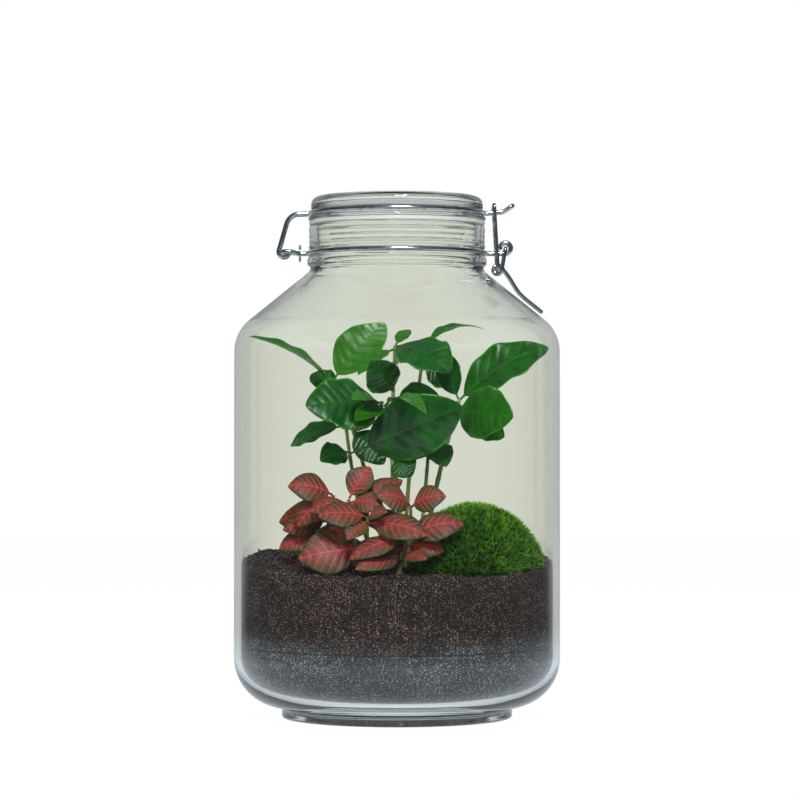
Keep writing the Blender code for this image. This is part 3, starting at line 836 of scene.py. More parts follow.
# ---- jar, lid and seal ----------------------------------------------------------------
@dataclass
class Jar:
    """The jar body, turned from its half section; lengths in millimetres."""

    body_radius: float = 87.0
    wall: float = 3.2
    foot_radius: float = 61.5
    heel_radius: float = 26.0
    floor_height: float = 10.8
    shoulder_start: float = 195.0
    shoulder_radius: float = 22.0
    shoulder_slope: float = 39.0
    neck_radius: float = 46.5
    bore_radius: float = 42.0
    rim_height: float = 262.5
    sides: int = 144

    def shoulder(self, inset: float) -> Outline:
        """Return the shoulder's rounding at a depth into the glass."""
        centre = (self.body_radius - self.shoulder_radius, self.shoulder_start)
        return arc(centre, self.shoulder_radius - inset, 0.0, 90.0 - self.shoulder_slope, 26)

    @staticmethod
    def run(start: Pair, end: Pair) -> Outline:
        """Return points on a straight run, close to its ends, so that the shading stays even."""
        return [(start[0] + (end[0] - start[0]) * share, start[1] + (end[1] - start[1]) * share)
                for share in (0.05, 0.15, 0.5, 0.85, 0.95)]

    def outline(self) -> Outline:
        """Return the half section, from the underside round the outside to the inner floor."""
        foot = soften([(0.0, 3.6), (48.0, 3.6), (52.0, 0.05), (self.foot_radius - 0.8, 0.05),
                       (self.foot_radius, 0.9), (self.foot_radius, 5.0), (63.6, 6.3)], 1.2, 3)
        heel = arc(HEEL_CENTRE, self.heel_radius, -82.0, 0.0, 14)
        wall = [(self.body_radius, height) for height in (34.0, 60.0, 100.0, 150.0, 193.0)]
        slope = self.run(self.shoulder(0.0)[-1], (56.0, 230.6))
        bead = [(self.neck_radius, 240.6), (48.0, 241.4), (48.0, 245.1), (46.3, 245.8)]
        rings = [(46.3, 249.4), (47.2, 250.1), (47.2, 251.6), (46.7, 252.6), (47.1, 253.8), (46.8, 255.4),
                 (47.2, 256.6), (46.8, 258.4), (47.2, 259.6), (47.2, 261.5), (46.0, self.rim_height)]
        neck = soften([(56.0, 230.6), (49.6, 235.6), (self.neck_radius, 238.6)] + bead + rings, 1.1, 3)
        bore = soften([(44.4, self.rim_height), (self.bore_radius + 0.6, self.rim_height),
                       (self.bore_radius, 261.1), (self.bore_radius, 238.4), (46.2, 233.6)], 1.5, 3)
        inner_shoulder = list(reversed(self.shoulder(self.wall)))
        inner_slope = self.run(bore[-1], inner_shoulder[0])
        inner_wall = [(self.body_radius - self.wall, height) for height in (193.0, 150.0, 100.0, 60.0, 34.0)]
        inner_heel = list(reversed(heel_inside(self.body_radius - self.wall, self.floor_height, 14)))
        outside = foot + heel + wall + self.shoulder(0.0) + slope + neck
        inside = inner_slope + inner_shoulder + inner_wall + inner_heel + [(0.0, self.floor_height)]
        return outside + bore + inside

    def build(self, glass: Material) -> Object:
        """Build the jar.

        Args:
            glass: the glass material.

        Returns:
            The jar's object.
        """
        mesh = lathe(millimetres(self.outline()), self.sides)
        return add_piece("glass_jar", mesh, glass, "jar", ("jar_body",))


@dataclass
class Lid:
    """The glass lid and its seal; lengths in millimetres."""

    flange_radius: float = 47.5
    top_radius: float = 46.0
    edge_rounding: float = 4.3
    top: float = 278.0
    sides: int = 144

    def outline(self) -> Outline:
        """Return the lid's half section, from the hollow underside to the top."""
        centre = (self.top_radius - self.edge_rounding, self.top - self.edge_rounding)
        edge = arc(centre, self.edge_rounding, 0.0, 90.0, 8)
        hollow = [(0.0, 273.5), (33.0, 273.5), (36.0, 270.5), (36.0, 261.8), (37.2, 261.0)]
        boss = [(39.4, 261.0), (40.5, 262.2), (40.5, 265.1), (46.9, 265.1)]
        groove = [(self.flange_radius, 265.7), (self.flange_radius, 266.8), (45.3, 267.5), (45.3, 270.5)]
        under = soften(hollow + boss + groove + [(self.top_radius, 271.2)], 0.8, 3)
        return under + edge + [(30.0, self.top), (0.0, self.top - 0.15)]

    def build(self, glass: Material, seal: Material) -> list[Object]:
        """Build the lid and its seal.

        Args:
            glass: the glass material.
            seal: the silicone material.

        Returns:
            The two objects.
        """
        cap = lathe(millimetres(self.outline()), self.sides)
        lid = add_piece("glass_lid", cap, glass, "lid", ("lid_glass",))
        ring = soften([(43.0, 263.8), (43.0, 262.8), (47.0, 262.8), (47.0, 264.8), (43.0, 264.8),
                       (43.0, 263.9)], 0.5, 3)
        band = lathe(millimetres(ring), self.sides, closed=True)
        gasket = add_piece("seal_ring", band, seal, "lid", ("lid_gasket",))
        return [lid, gasket]


# ---- wirework -----------------------------------------------------------------------
@dataclass
class Wirework:
    """The two bands, the tie ring, the link and the lever; lengths in millimetres."""

    band_wire: float = 2.4
    clasp_wire: float = 2.0
    tie_wire: float = 1.2
    neck_band: Pair = (47.8, 247.6)
    lid_band: Pair = (46.8, 269.0)
    hinge: Pair = (-60.6, 248.4)
    pivot: Pair = (58.0, 250.5)
    link_low: Pair = (53.8, 239.0)
    link_top: Pair = (51.8, 273.4)
    gap: float = 0.3
    eye_radius: float = 2.9
    eye_y: float = 2.4
    ear_y: float = 2.0
    hinge_bar_y: float = 7.0
    hinge_leg_y: float = 3.2
    tie_x: float = -52.0
    tie_radius: float = 4.1
    tongue_y: float = 2.2
    link_leg_y: float = 8.0
    lever_arm_y: float = 5.0
    lever_leg_y: float = 2.6
    lever_tip_y: float = 2.0

    @staticmethod
    def rounded(corners: list[Place], radius: float, steps: int = 7) -> list[Vector]:
        """Return a route whose inner corners are bent over a reach."""
        route = [Vector(corners[0])]
        for before, corner, after in zip(corners, corners[1:], corners[2:]):
            before, corner, after = Vector(before), Vector(corner), Vector(after)
            start = corner + (before - corner).normalized() * min(radius, (before - corner).length * 0.45)
            end = corner + (after - corner).normalized() * min(radius, (after - corner).length * 0.45)
            for step in range(steps + 1):
                share = step / steps
                route.append(start.lerp(corner, share).lerp(corner.lerp(end, share), share))
        route.append(Vector(corners[-1]))
        return route

    @staticmethod
    def ring(radius: float, height: float, first: float, last: float) -> list[Vector]:
        """Return points along a band between two angles in degrees."""
        steps = max(2, int(abs(last - first) / 2.5))
        points = []
        for step in range(steps + 1):
            turn = math.radians(first + (last - first) * step / steps)
            points.append(Vector((radius * math.cos(turn), radius * math.sin(turn), height)))
        return points

    @staticmethod
    def circle(centre: Pair, radius: float, y: float, start: float, end: float, steps: int) -> list[Vector]:
        """Return points on a circle in a plane of constant y."""
        return [Vector((x, y, z)) for x, z in arc(centre, radius, start, end, steps)]

    @staticmethod
    def mirrored(points: list[Vector]) -> list[Vector]:
        """Return a route mirrored front to back and run the other way."""
        return [Vector((point.x, -point.y, point.z)) for point in reversed(points)]

    @staticmethod
    def bend(name: str, points: list[Vector], diameter: float, steel: Material, body: str, node: str,
             cyclic: bool = False) -> Object:
        """Make a wire as a curve, then keep it as a mesh.

        Args:
            name: the piece's name.
            points: its route in millimetres.
            diameter: the wire's diameter in millimetres.
            steel: its material.
            body: the body that it rides on.
            node: the frame's node that it stands for.
            cyclic: whether the route closes.

        Returns:
            The piece.
        """
        curve = bpy.data.curves.new(name, "CURVE")
        curve.dimensions = "3D"
        curve.bevel_depth = diameter / 2 * MM
        curve.bevel_resolution = 6
        curve.use_fill_caps = not cyclic
        spline = curve.splines.new("POLY")
        spline.points.add(len(points) - 1)
        for index, point in enumerate(points):
            spline.points[index].co = (*(point * MM), 1.0)
        spline.use_cyclic_u = cyclic
        guide = bpy.data.objects.new(name + "_route", curve)
        bpy.context.scene.collection.objects.link(guide)
        bpy.context.view_layer.update()
        mesh = bpy.data.meshes.new_from_object(guide.evaluated_get(bpy.context.evaluated_depsgraph_get()))
        bpy.data.objects.remove(guide, do_unlink=True)
        mesh.materials.clear()
        mesh.shade_smooth()
        mesh.set_sharp_from_angle(angle=math.radians(50))
        return add_piece(name, mesh, steel, body, (node,))

    def build(self, steel: Material) -> list[Object]:
        """Build every wire.

        Args:
            steel: the wire's material.

        Returns:
            The pieces.
        """
        return [self.neck(steel), self.tie(steel), self.lid(steel), self.link(steel), self.lever(steel)]

    def neck(self, steel: Material) -> Object:
        """Build the neck wire: eye, half band and hinge bar, then the same mirrored."""
        radius, height = self.neck_band
        hinge_x, hinge_z = self.hinge
        first = math.degrees(math.asin(self.eye_y / radius))
        last = 180.0 - math.degrees(math.asin(self.ear_y / radius))
        eye = self.circle(self.pivot, self.eye_radius, self.eye_y, 195.0, -90.0, 26)
        band = self.ring(radius, height, first, last)
        ear = self.rounded([band[-1], (-53.4, self.ear_y, height), (-56.0, self.hinge_bar_y, hinge_z),
                            (hinge_x, self.hinge_bar_y, hinge_z), (hinge_x, 0.0, hinge_z)], 1.6)
        rear = eye + band + ear[1:]
        route = rear + self.mirrored(rear)[1:]
        return self.bend("neck_band_wire", route, self.band_wire, steel, "jar", "neck_wire")

    def tie(self, steel: Material) -> Object:
        """Build the ring that ties the two neck wires together."""
        steps = 40
        points = []
        for step in range(steps):
            angle = 2 * math.pi * step / steps
            points.append(Vector((self.tie_x, self.tie_radius * math.cos(angle),
                                  self.neck_band[1] + self.tie_radius * math.sin(angle))))
        return self.bend("hinge_tie", points, self.tie_wire, steel, "jar", "hinge_tie_ring", cyclic=True)

    def lid(self, steel: Material) -> Object:
        """Build the lid wire: tongue, half band and curled hinge leg, then the same mirrored."""
        radius, height = self.lid_band
        first = math.degrees(math.asin(self.tongue_y / radius))
        last = 180.0 - math.degrees(math.asin(self.hinge_leg_y / radius))
        tongue = self.rounded([(61.8, 0.0, 273.2), (61.8, self.tongue_y, 273.2), (57.2, self.tongue_y, 270.0),
                               (49.0, self.tongue_y, height)], 1.8)
        band = self.ring(radius, height, first, last)
        curl = self.circle(self.hinge, self.band_wire + self.gap, self.hinge_leg_y, 165.0, 385.0, 24)
        leg = self.rounded([band[-1], (-55.4, self.hinge_leg_y, 268.5), (-58.6, self.hinge_leg_y, 265.3),
                            curl[0]], 2.4)
        rear = tongue[:-1] + band + leg[1:-1] + curl
        route = self.mirrored(rear) + rear[1:]
        return self.bend("lid_band_wire", route, self.band_wire, steel, "lid", "lid_wire")

    def link(self, steel: Material) -> Object:
        """Build the link: a closed loop."""
        low, top = self.link_low, self.link_top
        half = self.rounded([(low[0], 0.0, low[1]), (low[0], self.link_leg_y, low[1]),
                             (top[0], self.link_leg_y, top[1]), (top[0], 0.0, top[1])], 1.8)
        route = half + self.mirrored(half)[1:-1]
        return self.bend("link_wire", route, self.clasp_wire, steel, "link", "clasp_link", cyclic=True)

    def lever(self, steel: Material) -> Object:
        """Build the lever: pivot bar, arms, coils and handle."""
        coil_radius = self.clasp_wire + self.gap
        turn = 360.0 - math.degrees(math.asin(0.6))
        steps = 36
        coil = []
        for step in range(steps + 1):
            share = step / steps
            angle = math.radians(-turn * share)
            y = self.lever_arm_y + (self.lever_leg_y - self.lever_arm_y) * share
            coil.append(Vector((self.link_low[0] + coil_radius * math.cos(angle), y,
                                self.link_low[1] + coil_radius * math.sin(angle))))
        pivot_x, pivot_z = self.pivot
        arm = self.rounded([(pivot_x, 0.0, pivot_z), (pivot_x, self.lever_arm_y, pivot_z), coil[0]], 1.4)
        handle = self.rounded([coil[-1], (59.8, self.lever_leg_y, 235.2), (64.6, self.lever_leg_y, 227.2),
                               (67.8, self.lever_tip_y, 224.0), (77.2, self.lever_tip_y, 216.4),
                               (77.2, 0.0, 216.4)], 2.4)
        side = arm[:-1] + coil + handle[1:]
        route = side + self.mirrored(side)[1:-1]
        return self.bend("lever_wire", route, self.clasp_wire, steel, "lever", "clasp_lever", cyclic=True)


# ---- planting bed ---------------------------------------------------------------------
def soil_height(x: np.ndarray, y: np.ndarray) -> np.ndarray:
    """Return the height of the soil surface in millimetres, as the frame's soil has it."""
    spread = ((x - MOUND_CENTRE[0]) ** 2 + (y - MOUND_CENTRE[1]) ** 2) / MOUND_WIDTH ** 2
    return SOIL_LEVEL + SOIL_RISE * y + MOUND_HEIGHT * np.exp(-spread)


def ground(x: float, y: float) -> float:
    """Return the height of the soil surface at one place in millimetres."""
    return float(soil_height(np.array(x), np.array(y)))


def grain_noise(x: float, y: float, z: float, scale: float) -> float:
    """Return smooth noise from -1 to 1 at a place in millimetres."""
    return noise.fractal(Vector((x, y, z)) * scale, 0.7, 2.0, 4)


def soil_lumps(x: float, y: float) -> float:
    """Return how far the loose soil rises over its even surface, in millimetres."""
    return grain_noise(x, y, 5.0, 0.16) * 1.3 + grain_noise(x, y, 2.0, 0.6) * 0.8


@dataclass
class PlantingBed:
    """The drainage grit and the potting soil, with loose crumbs; lengths in millimetres."""

    inner_radius: float = 83.4
    grit_top: float = 38.0
    floor: float = 11.2
    sides: int = 260
    crumbs: int = 5200

    def bumpy(self, mesh: Mesh, depth: float, seed: float) -> None:
        """Press the side of a bed inwards and its top up and down by noise.

        Args:
            mesh: the bed's mesh, in metres.
            depth: the greatest movement in millimetres.
            seed: shifts the noise.
        """
        count = len(mesh.vertices)
        places = np.empty(count * 3)
        mesh.vertices.foreach_get("co", places)
        places = places.reshape(-1, 3) / MM
        for row in places:
            x, y, z = row
            radius = math.hypot(x, y)
            rough = 0.5 + 0.5 * grain_noise(x + seed, y, z, 0.45)
            if radius > 1.0:
                row[:2] *= 1.0 - depth * max(0.0, rough) / radius
        mesh.vertices.foreach_set("co", (places * MM).ravel())

    def grit(self, surface: Material) -> Object:
        """Build the drainage layer."""
        heel = heel_inside(self.inner_radius, self.floor, 22)
        side = [(self.inner_radius, 33.0 + step) for step in range(5)]
        top = [(radius, self.grit_top) for radius in (self.inner_radius, 40.0, 0.0)]
        outline = [(0.0, self.floor)] + heel + side + top
        mesh = lathe(millimetres(outline), self.sides)
        self.bumpy(mesh, 0.5, 9.0)
        return add_piece("grit_layer", mesh, surface, "jar", ("drainage_grit",))

    def soil(self, surface: Material) -> Object:
        """Build the soil, with a crumbly surface that follows the frame's soil."""
        rings = 76
        steps = 36
        outline = [(0.0, self.grit_top + 0.3)]
        outline += [(self.inner_radius, self.grit_top + 0.3 + 42.0 * step / steps) for step in range(steps)]
        outline += [(self.inner_radius * (1.0 - step / rings), 84.0) for step in range(rings + 1)]
        mesh = lathe(millimetres(outline), self.sides)
        count = len(mesh.vertices)
        places = np.empty(count * 3)
        mesh.vertices.foreach_get("co", places)
        places = places.reshape(-1, 3) / MM
        top = soil_height(places[:, 0], places[:, 1])
        share = (places[:, 2] - self.grit_top) / (SOIL_LEVEL - self.grit_top)
        for index, row in enumerate(places):
            if share[index] <= 0.02:
                continue
            rise = soil_lumps(row[0], row[1]) * min(1.0, share[index] ** 6)
            row[2] = self.grit_top + (top[index] + rise - self.grit_top) * share[index]
        mesh.vertices.foreach_set("co", (places * MM).ravel())
        self.bumpy(mesh, 0.5, 3.0)
        return add_piece("soil_bed", mesh, surface, "jar", ("potting_soil",))

    def loose(self, surface: Material) -> Object:
        """Scatter crumbs over the soil.

        Args:
            surface: the soil's material.

        Returns:
            The piece.
        """
        draw = np.random.default_rng(SEED)
        base = bmesh.new()
        bmesh.ops.create_icosphere(base, subdivisions=1, radius=1.0)
        corners = np.array([vert.co[:] for vert in base.verts])
        faces = np.array([[vert.index for vert in face.verts] for face in base.faces])
        base.free()
        all_verts, all_faces = [], []
        for number in range(self.crumbs):
            radius = (self.inner_radius - 1.5) * math.sqrt(draw.random())
            angle = draw.random() * 2 * math.pi
            x, y = radius * math.cos(angle), radius * math.sin(angle)
            size = 0.35 + 0.75 * draw.random() ** 2.5
            shape = corners * (1.0 + 0.35 * draw.standard_normal((len(corners), 1)) * 0.6) * size
            shape = shape * (1.0, 0.6 + 0.6 * draw.random(), 0.55 + 0.3 * draw.random())
            turn = draw.random() * 2 * math.pi
            cosine, sine = math.cos(turn), math.sin(turn)
            spin = np.array([[cosine, -sine, 0], [sine, cosine, 0], [0, 0, 1]])
            height = ground(x, y) + soil_lumps(x, y)
            all_verts.append(shape @ spin.T + (x, y, height + size * 0.25))
            all_faces.append(faces + number * len(corners))
        mesh = mesh_from_arrays("crumbs", np.concatenate(all_verts) * MM, np.concatenate(all_faces))
        return add_piece("soil_crumbs", mesh, surface, "jar")

    def build(self, soil: Material, grit: Material) -> list[Object]:
        """Build the bed.

        Args:
            soil: the soil's material.
            grit: the grit's material.

        Returns:
            The pieces.
        """
        return [self.grit(grit), self.soil(soil), self.loose(soil)]


@dataclass
class MossCushion:
    """The moss: a dome covered in blades; lengths in millimetres."""

    centre: Pair = (40.0, -32.0)
    half_width: float = 34.0
    half_depth: float = 34.0
    height: float = 34.0
    limit: float = 81.5
    blades: int = 24000
    blade_length: float = 3.6
    tuft_spread: float = 0.95

    def reach(self, angle: float) -> float:
        """Return how far the dome reaches from its centre in one direction."""
        across, along = math.cos(angle), math.sin(angle)
        free = 1.0 / math.hypot(across / self.half_width, along / self.half_depth)
        dot = self.centre[0] * across + self.centre[1] * along
        square = self.centre[0] ** 2 + self.centre[1] ** 2
        return min(free, -dot + math.sqrt(dot ** 2 + self.limit ** 2 - square))

    def point(self, angle: float, level: float) -> Vector:
        """Return a point of the dome.

        Args:
            angle: direction from the centre.
            level: 0 at the foot to 1 at the crown.

        Returns:
            The point in millimetres.
        """
        turn = math.radians(90.0 * level)
        reach = (self.reach(angle) - 1.5) * math.cos(turn) ** 1.12
        x, y = self.centre[0] + reach * math.cos(angle), self.centre[1] + reach * math.sin(angle)
        lump = grain_noise(x, y, 7.0, 0.07) * 2.0 * (1.0 - level * 0.5)
        z = ground(x, y) + (self.height - 3.0) * math.sin(turn) + lump * math.sin(turn)
        return Vector((x, y, z))

    def build(self, blade: Material, under: Material) -> list[Object]:
        """Build the dome and its blades.

        Args:
            blade: the blades' material.
            under: the dome's material beneath them; the dome takes the blades' dark root tone, painted shade
                under the blades.

        Returns:
            The pieces.
        """
        sides, levels = 96, 24
        verts = [self.point(2 * math.pi * side / sides, level / levels)
                 for level in range(levels) for side in range(sides)]
        crown = self.point(0.0, 0.999)
        faces = ring_faces(levels - 1, sides)
        last = (levels - 1) * sides
        mesh = bpy.data.meshes.new("moss_core")
        caps = [(last + side, last + (side + 1) % sides, len(verts)) for side in range(sides)]
        foot = [tuple(reversed(range(sides)))]
        mesh.from_pydata([tuple(vert * MM) for vert in verts + [crown]], [], faces + caps + foot)
        mesh.shade_smooth()
        # the dome takes the blades' dark root tone: painted shade under the blades
        set_uv(mesh, "blade", np.full((len(mesh.vertices), 2), (0.3, 0.12)))
        core = add_piece("moss_core", mesh, under, "jar", ("moss_cushion",))
        return [core, self.grow(blade)]

    def grow(self, blade: Material) -> Object:
        """Cover the dome with blades in small tufts.

        Args:
            blade: the blades' material.

        Returns:
            The piece.
        """
        draw = np.random.default_rng(SEED + 1)
        verts, faces, uv = [], [], []
        for _ in range(self.blades):
            angle = draw.random() * 2 * math.pi
            level = 1.0 - math.sqrt(1.0 - draw.random() * 0.995)
            root = self.point(angle, level)
            ahead = self.point(angle + 0.03, level) - root
            above = self.point(angle, min(level + 0.03, 0.999)) - root
            outward = ahead.cross(above).normalized()
            tuft = Vector((grain_noise(root.x, root.y, root.z, 0.42),
                           grain_noise(root.y, root.z, root.x, 0.42),
                           grain_noise(root.z, root.x, root.y, 0.42)))
            stray = Vector(draw.standard_normal(3)) * 0.28
            lean = (outward + tuft * self.tuft_spread + stray + Vector((0, 0, 0.45))).normalized()
            length = self.blade_length * (0.6 + 0.75 * draw.random())
            side = lean.cross(Vector(draw.standard_normal(3))).normalized()
            bow = lean.cross(side).normalized() * (draw.random() - 0.5) * length * 0.6
            tip = root + lean * length + bow
            flat = math.hypot(tip.x, tip.y)
            if flat > self.limit + 1.0:
                tip.x *= (self.limit + 1.0) / flat
                tip.y *= (self.limit + 1.0) / flat
            width = 0.2 + 0.14 * draw.random()
            start = len(verts)
            middle = root.lerp(tip, 0.55) + bow * 0.35
            verts += [root - side * width * 0.7, root + side * width * 0.7]
            verts += [middle + side * width, middle - side * width, tip]
            faces += [(start, start + 1, start + 2, start + 3), (start + 3, start + 2, start + 4)]
            shade = draw.random()
            uv += [(shade, 0.0), (shade, 0.0), (shade, 0.55), (shade, 0.55), (shade, 1.0)]
        mesh = bpy.data.meshes.new("moss_blades")
        mesh.from_pydata([tuple(vert * MM) for vert in verts], [], faces)
        mesh.shade_smooth()
        set_uv(mesh, "blade", np.array(uv))
        return add_piece("moss_blades", mesh, blade, "jar")


# ---- plants ------------------------------------------------------------------------------
@dataclass(frozen=True)
class Stem:
    """A stem: foot (x, y), top (x, y, z), sideways bow and its two radii, in millimetres."""

    foot: Pair
    top: Place
    bow: float
    foot_radius: float
    top_radius: float

    def point(self, share: float) -> Vector:
        """Return the point at a share of the height."""
        base = Vector((*self.foot, ground(*self.foot) + 0.4))
        point = base.lerp(Vector(self.top), share)
        point.x += self.bow * 4.0 * share * (1.0 - share)
        return point

    def radius(self, share: float) -> float:
        """Return the radius at a share of the height."""
        return self.foot_radius + (self.top_radius - self.foot_radius) * share


@dataclass(frozen=True)
class Leaf:
    """A leaf: its start on a stem, tip, width, arch, facing, cup, stalk and how fresh its green is."""

    stem: str
    share: float
    tip: Place
    width: float
    arch: float
    face: Place
    cup: float
    stalk: float
    fresh: float = 0.0


def leaf_table(rows: dict[str, tuple]) -> dict[str, Leaf]:
    """Turn rows of values into leaves."""
    return {name: Leaf(*row) for name, row in rows.items()}


COFFEE_STEMS = {
    "coffee_stem_1": Stem((-13, -14), (-27, -16, 156), -1.5, 1.1, 0.9),
    "coffee_stem_2": Stem((-7, 18), (-34, 18, 181), 2.5, 1.2, 0.9),
    "coffee_stem_3": Stem((-1, 6), (-1, 8, 199), -1.5, 1.2, 0.9),
    "coffee_stem_4": Stem((4, -19), (-7, -22, 166), 1.0, 1.7, 1.2),
    "coffee_stem_5": Stem((4, 28), (15, 30, 199), -1.5, 1.2, 0.9),
    "coffee_stem_6": Stem((14, 4), (33, -4, 169), -1.5, 1.4, 1.1),
    "coffee_stem_7": Stem((11, -8), (17, -12, 147), 0.5, 1.1, 0.9),
}

COFFEE_LEAVES = leaf_table({
    "coffee_leaf_01": ("coffee_stem_2", 0.97, (-80, 4, 205), 16, 3.5, (0.35, -0.25, 0.9), 0.25, 0.12, 0.4),
    "coffee_leaf_02": ("coffee_stem_2", 1.0, (-7, 28, 217), 25, 2.0, (-0.1, -1.0, 0.2), 0.15, 0.05, 0.65),
    "coffee_leaf_03": ("coffee_stem_3", 0.98, (-21, 1, 183), 12, 2.0, (-0.3, -0.6, 0.75), 0.2, 0.1, 0.55),
    "coffee_leaf_04": ("coffee_stem_3", 1.0, (28, -15, 184), 30, 4.5, (0.1, -0.7, 0.7), 0.05, 0.06),
    "coffee_leaf_05": ("coffee_stem_5", 1.0, (48, 42, 213.5), 14, 7.5, (-0.3, -0.45, 0.9), 0.2, 0.1, 0.25),
    "coffee_leaf_06": ("coffee_stem_6", 1.0, (81, -4, 198), 28, 6.0, (-0.45, -0.75, 0.5), 0.15, 0.06, 0.1),
    "coffee_leaf_07": ("coffee_stem_6", 0.94, (60, -34, 160), 29, 3.0, (0.1, -1.0, 0.1), -0.05, 0.08, 0.25),
    "coffee_leaf_08": ("coffee_stem_6", 0.9, (58, 4, 150), 20, 3.0, (0.1, -0.8, 0.5), 0.1, 0.1, 0.2),
    "coffee_leaf_09": ("coffee_stem_6", 1.0, (25, 10, 195), 15, 1.5, (-0.4, -0.9, 0.1), 0.15, 0.1),
    "coffee_leaf_10": ("coffee_stem_4", 0.99, (-47, -42, 166), 33, 3.5, (-0.1, -0.85, 0.5), -0.05, 0.06),
    "coffee_leaf_11": ("coffee_stem_1", 0.79, (34, -37, 165.5), 34, 2.0, (0.05, -1.0, 0.0), -0.03, 0.17),
    "coffee_leaf_12": ("coffee_stem_4", 1.0, (-23, -52, 169), 13, 1.5, (0.1, -0.6, 0.8), 0.35, 0.1, 0.6),
    "coffee_leaf_13": ("coffee_stem_4", 1.0, (15, -55, 162), 11, 6.0, (0.0, -0.35, 0.9), 0.3, 0.1, 0.55),
    "coffee_leaf_14": ("coffee_stem_1", 0.99, (-57, -2, 145), 15, 3.0, (-0.2, -0.7, 0.7), 0.1, 0.12),
    "coffee_leaf_15": ("coffee_stem_1", 0.8, (-40, -26, 137), 16, 2.0, (-0.1, -0.85, 0.5), 0.1, 0.1),
    "coffee_leaf_16": ("coffee_stem_2", 0.71, (-7, 8, 135), 18, 2.0, (0.1, -1.0, 0.2), 0.1, 0.1),
    "coffee_leaf_17": ("coffee_stem_4", 0.66, (8, -26, 129), 16, 2.0, (0.2, -0.95, 0.2), 0.1, 0.1),
    "coffee_leaf_18": ("coffee_stem_7", 1.0, (26, -22, 134), 16, 2.0, (0.3, -0.9, 0.3), 0.1, 0.1, 0.25),
    "coffee_leaf_19": ("coffee_stem_4", 0.98, (-21, -57, 158), 12, 1.5, (0.1, -0.7, 0.7), 0.2, 0.1, 0.45),
    "coffee_leaf_20": ("coffee_stem_3", 0.78, (-14, -8, 190), 20, 2.0, (-0.1, -1.0, 0.2), 0.1, 0.08),
})

FITTONIA_STEMS = {
    "fittonia_stem_1": Stem((5, -36), (7, -41, 114), 1.0, 1.1, 0.8),
    "fittonia_stem_2": Stem((-13, -50), (-15, -56, 108), -1.0, 1.1, 0.8),
    "fittonia_stem_3": Stem((-22, -38), (-25, -43, 117), 1.0, 1.1, 0.8),
    "fittonia_stem_4": Stem((-36, -28), (-33, -34, 119), -1.5, 1.2, 0.8),
    "fittonia_stem_5": Stem((1, -57), (4, -61, 98), 1.0, 1.1, 0.8),
}

FITTONIA_LEAVES = leaf_table({
    "fittonia_leaf_01": ("fittonia_stem_1", 1.0, (-10, -52, 119), 19, 3.5, (-0.1, -0.8, 0.6), -0.1, 0.1, 0.4),
    "fittonia_leaf_02": ("fittonia_stem_1", 0.97, (25, -48, 119), 17, 3.5, (0.1, -0.8, 0.6), -0.1, 0.1, 0.3),
    "fittonia_leaf_03": ("fittonia_stem_2", 1.0, (-40, -63, 109), 18, 3.0, (-0.1, -0.75, 0.65), -0.1, 0.08),
    "fittonia_leaf_04": ("fittonia_stem_2", 0.88, (15, -69, 99), 19, 3.5, (0.1, -0.75, 0.65), -0.1, 0.1),
    "fittonia_leaf_05": ("fittonia_stem_2", 0.9, (-25, -71, 97), 12, 2.0, (-0.1, -0.85, 0.5), 0.1, 0.12,
                         0.95),
    "fittonia_leaf_06": ("fittonia_stem_3", 0.93, (-44, -54, 111), 17, 3.0, (-0.2, -0.7, 0.7), -0.1, 0.1),
    "fittonia_leaf_07": ("fittonia_stem_3", 1.0, (-14, -38, 134), 15, 2.0, (-0.2, -0.95, 0.2), 0.1, 0.1),
    "fittonia_leaf_08": ("fittonia_stem_3", 0.95, (-7, -51, 113), 15, 3.0, (0.0, -0.75, 0.65), -0.1, 0.1),
    "fittonia_leaf_09": ("fittonia_stem_4", 1.0, (-56, -42, 124), 19, 3.5, (0.1, -0.8, 0.6), -0.1, 0.1),
    "fittonia_leaf_10": ("fittonia_stem_4", 0.95, (-51, -46, 103), 19, 4.0, (-0.45, -0.8, 0.4), -0.1, 0.1),
    "fittonia_leaf_11": ("fittonia_stem_2", 0.42, (-50, -61, 87), 25, 3.0, (-0.1, -0.92, 0.4), -0.05, 0.16),
    "fittonia_leaf_12": ("fittonia_stem_5", 1.0, (34, -64, 105), 18, 4.0, (-0.1, -0.8, 0.6), -0.1, 0.1),
    "fittonia_leaf_13": ("fittonia_stem_2", 1.0, (-5, -68, 111), 10, 1.5, (-0.2, -0.8, 0.6), 0.1, 0.12, 0.9),
    "fittonia_leaf_14": ("fittonia_stem_5", 0.95, (-24, -70, 87), 14, 3.0, (-0.1, -0.7, 0.7), -0.1, 0.08),
    "fittonia_leaf_15": ("fittonia_stem_5", 0.35, (-21, -74, 82), 12, 3.0, (-0.1, -0.8, 0.6), -0.1, 0.1),
    "fittonia_leaf_16": ("fittonia_stem_4", 0.75, (-62, -22, 105), 17, 3.0, (-0.6, -0.6, 0.5), -0.1, 0.1),
    "fittonia_leaf_17": ("fittonia_stem_4", 0.4, (-61, -36, 91), 16, 3.0, (-0.4, -0.75, 0.55), -0.1, 0.1),
})


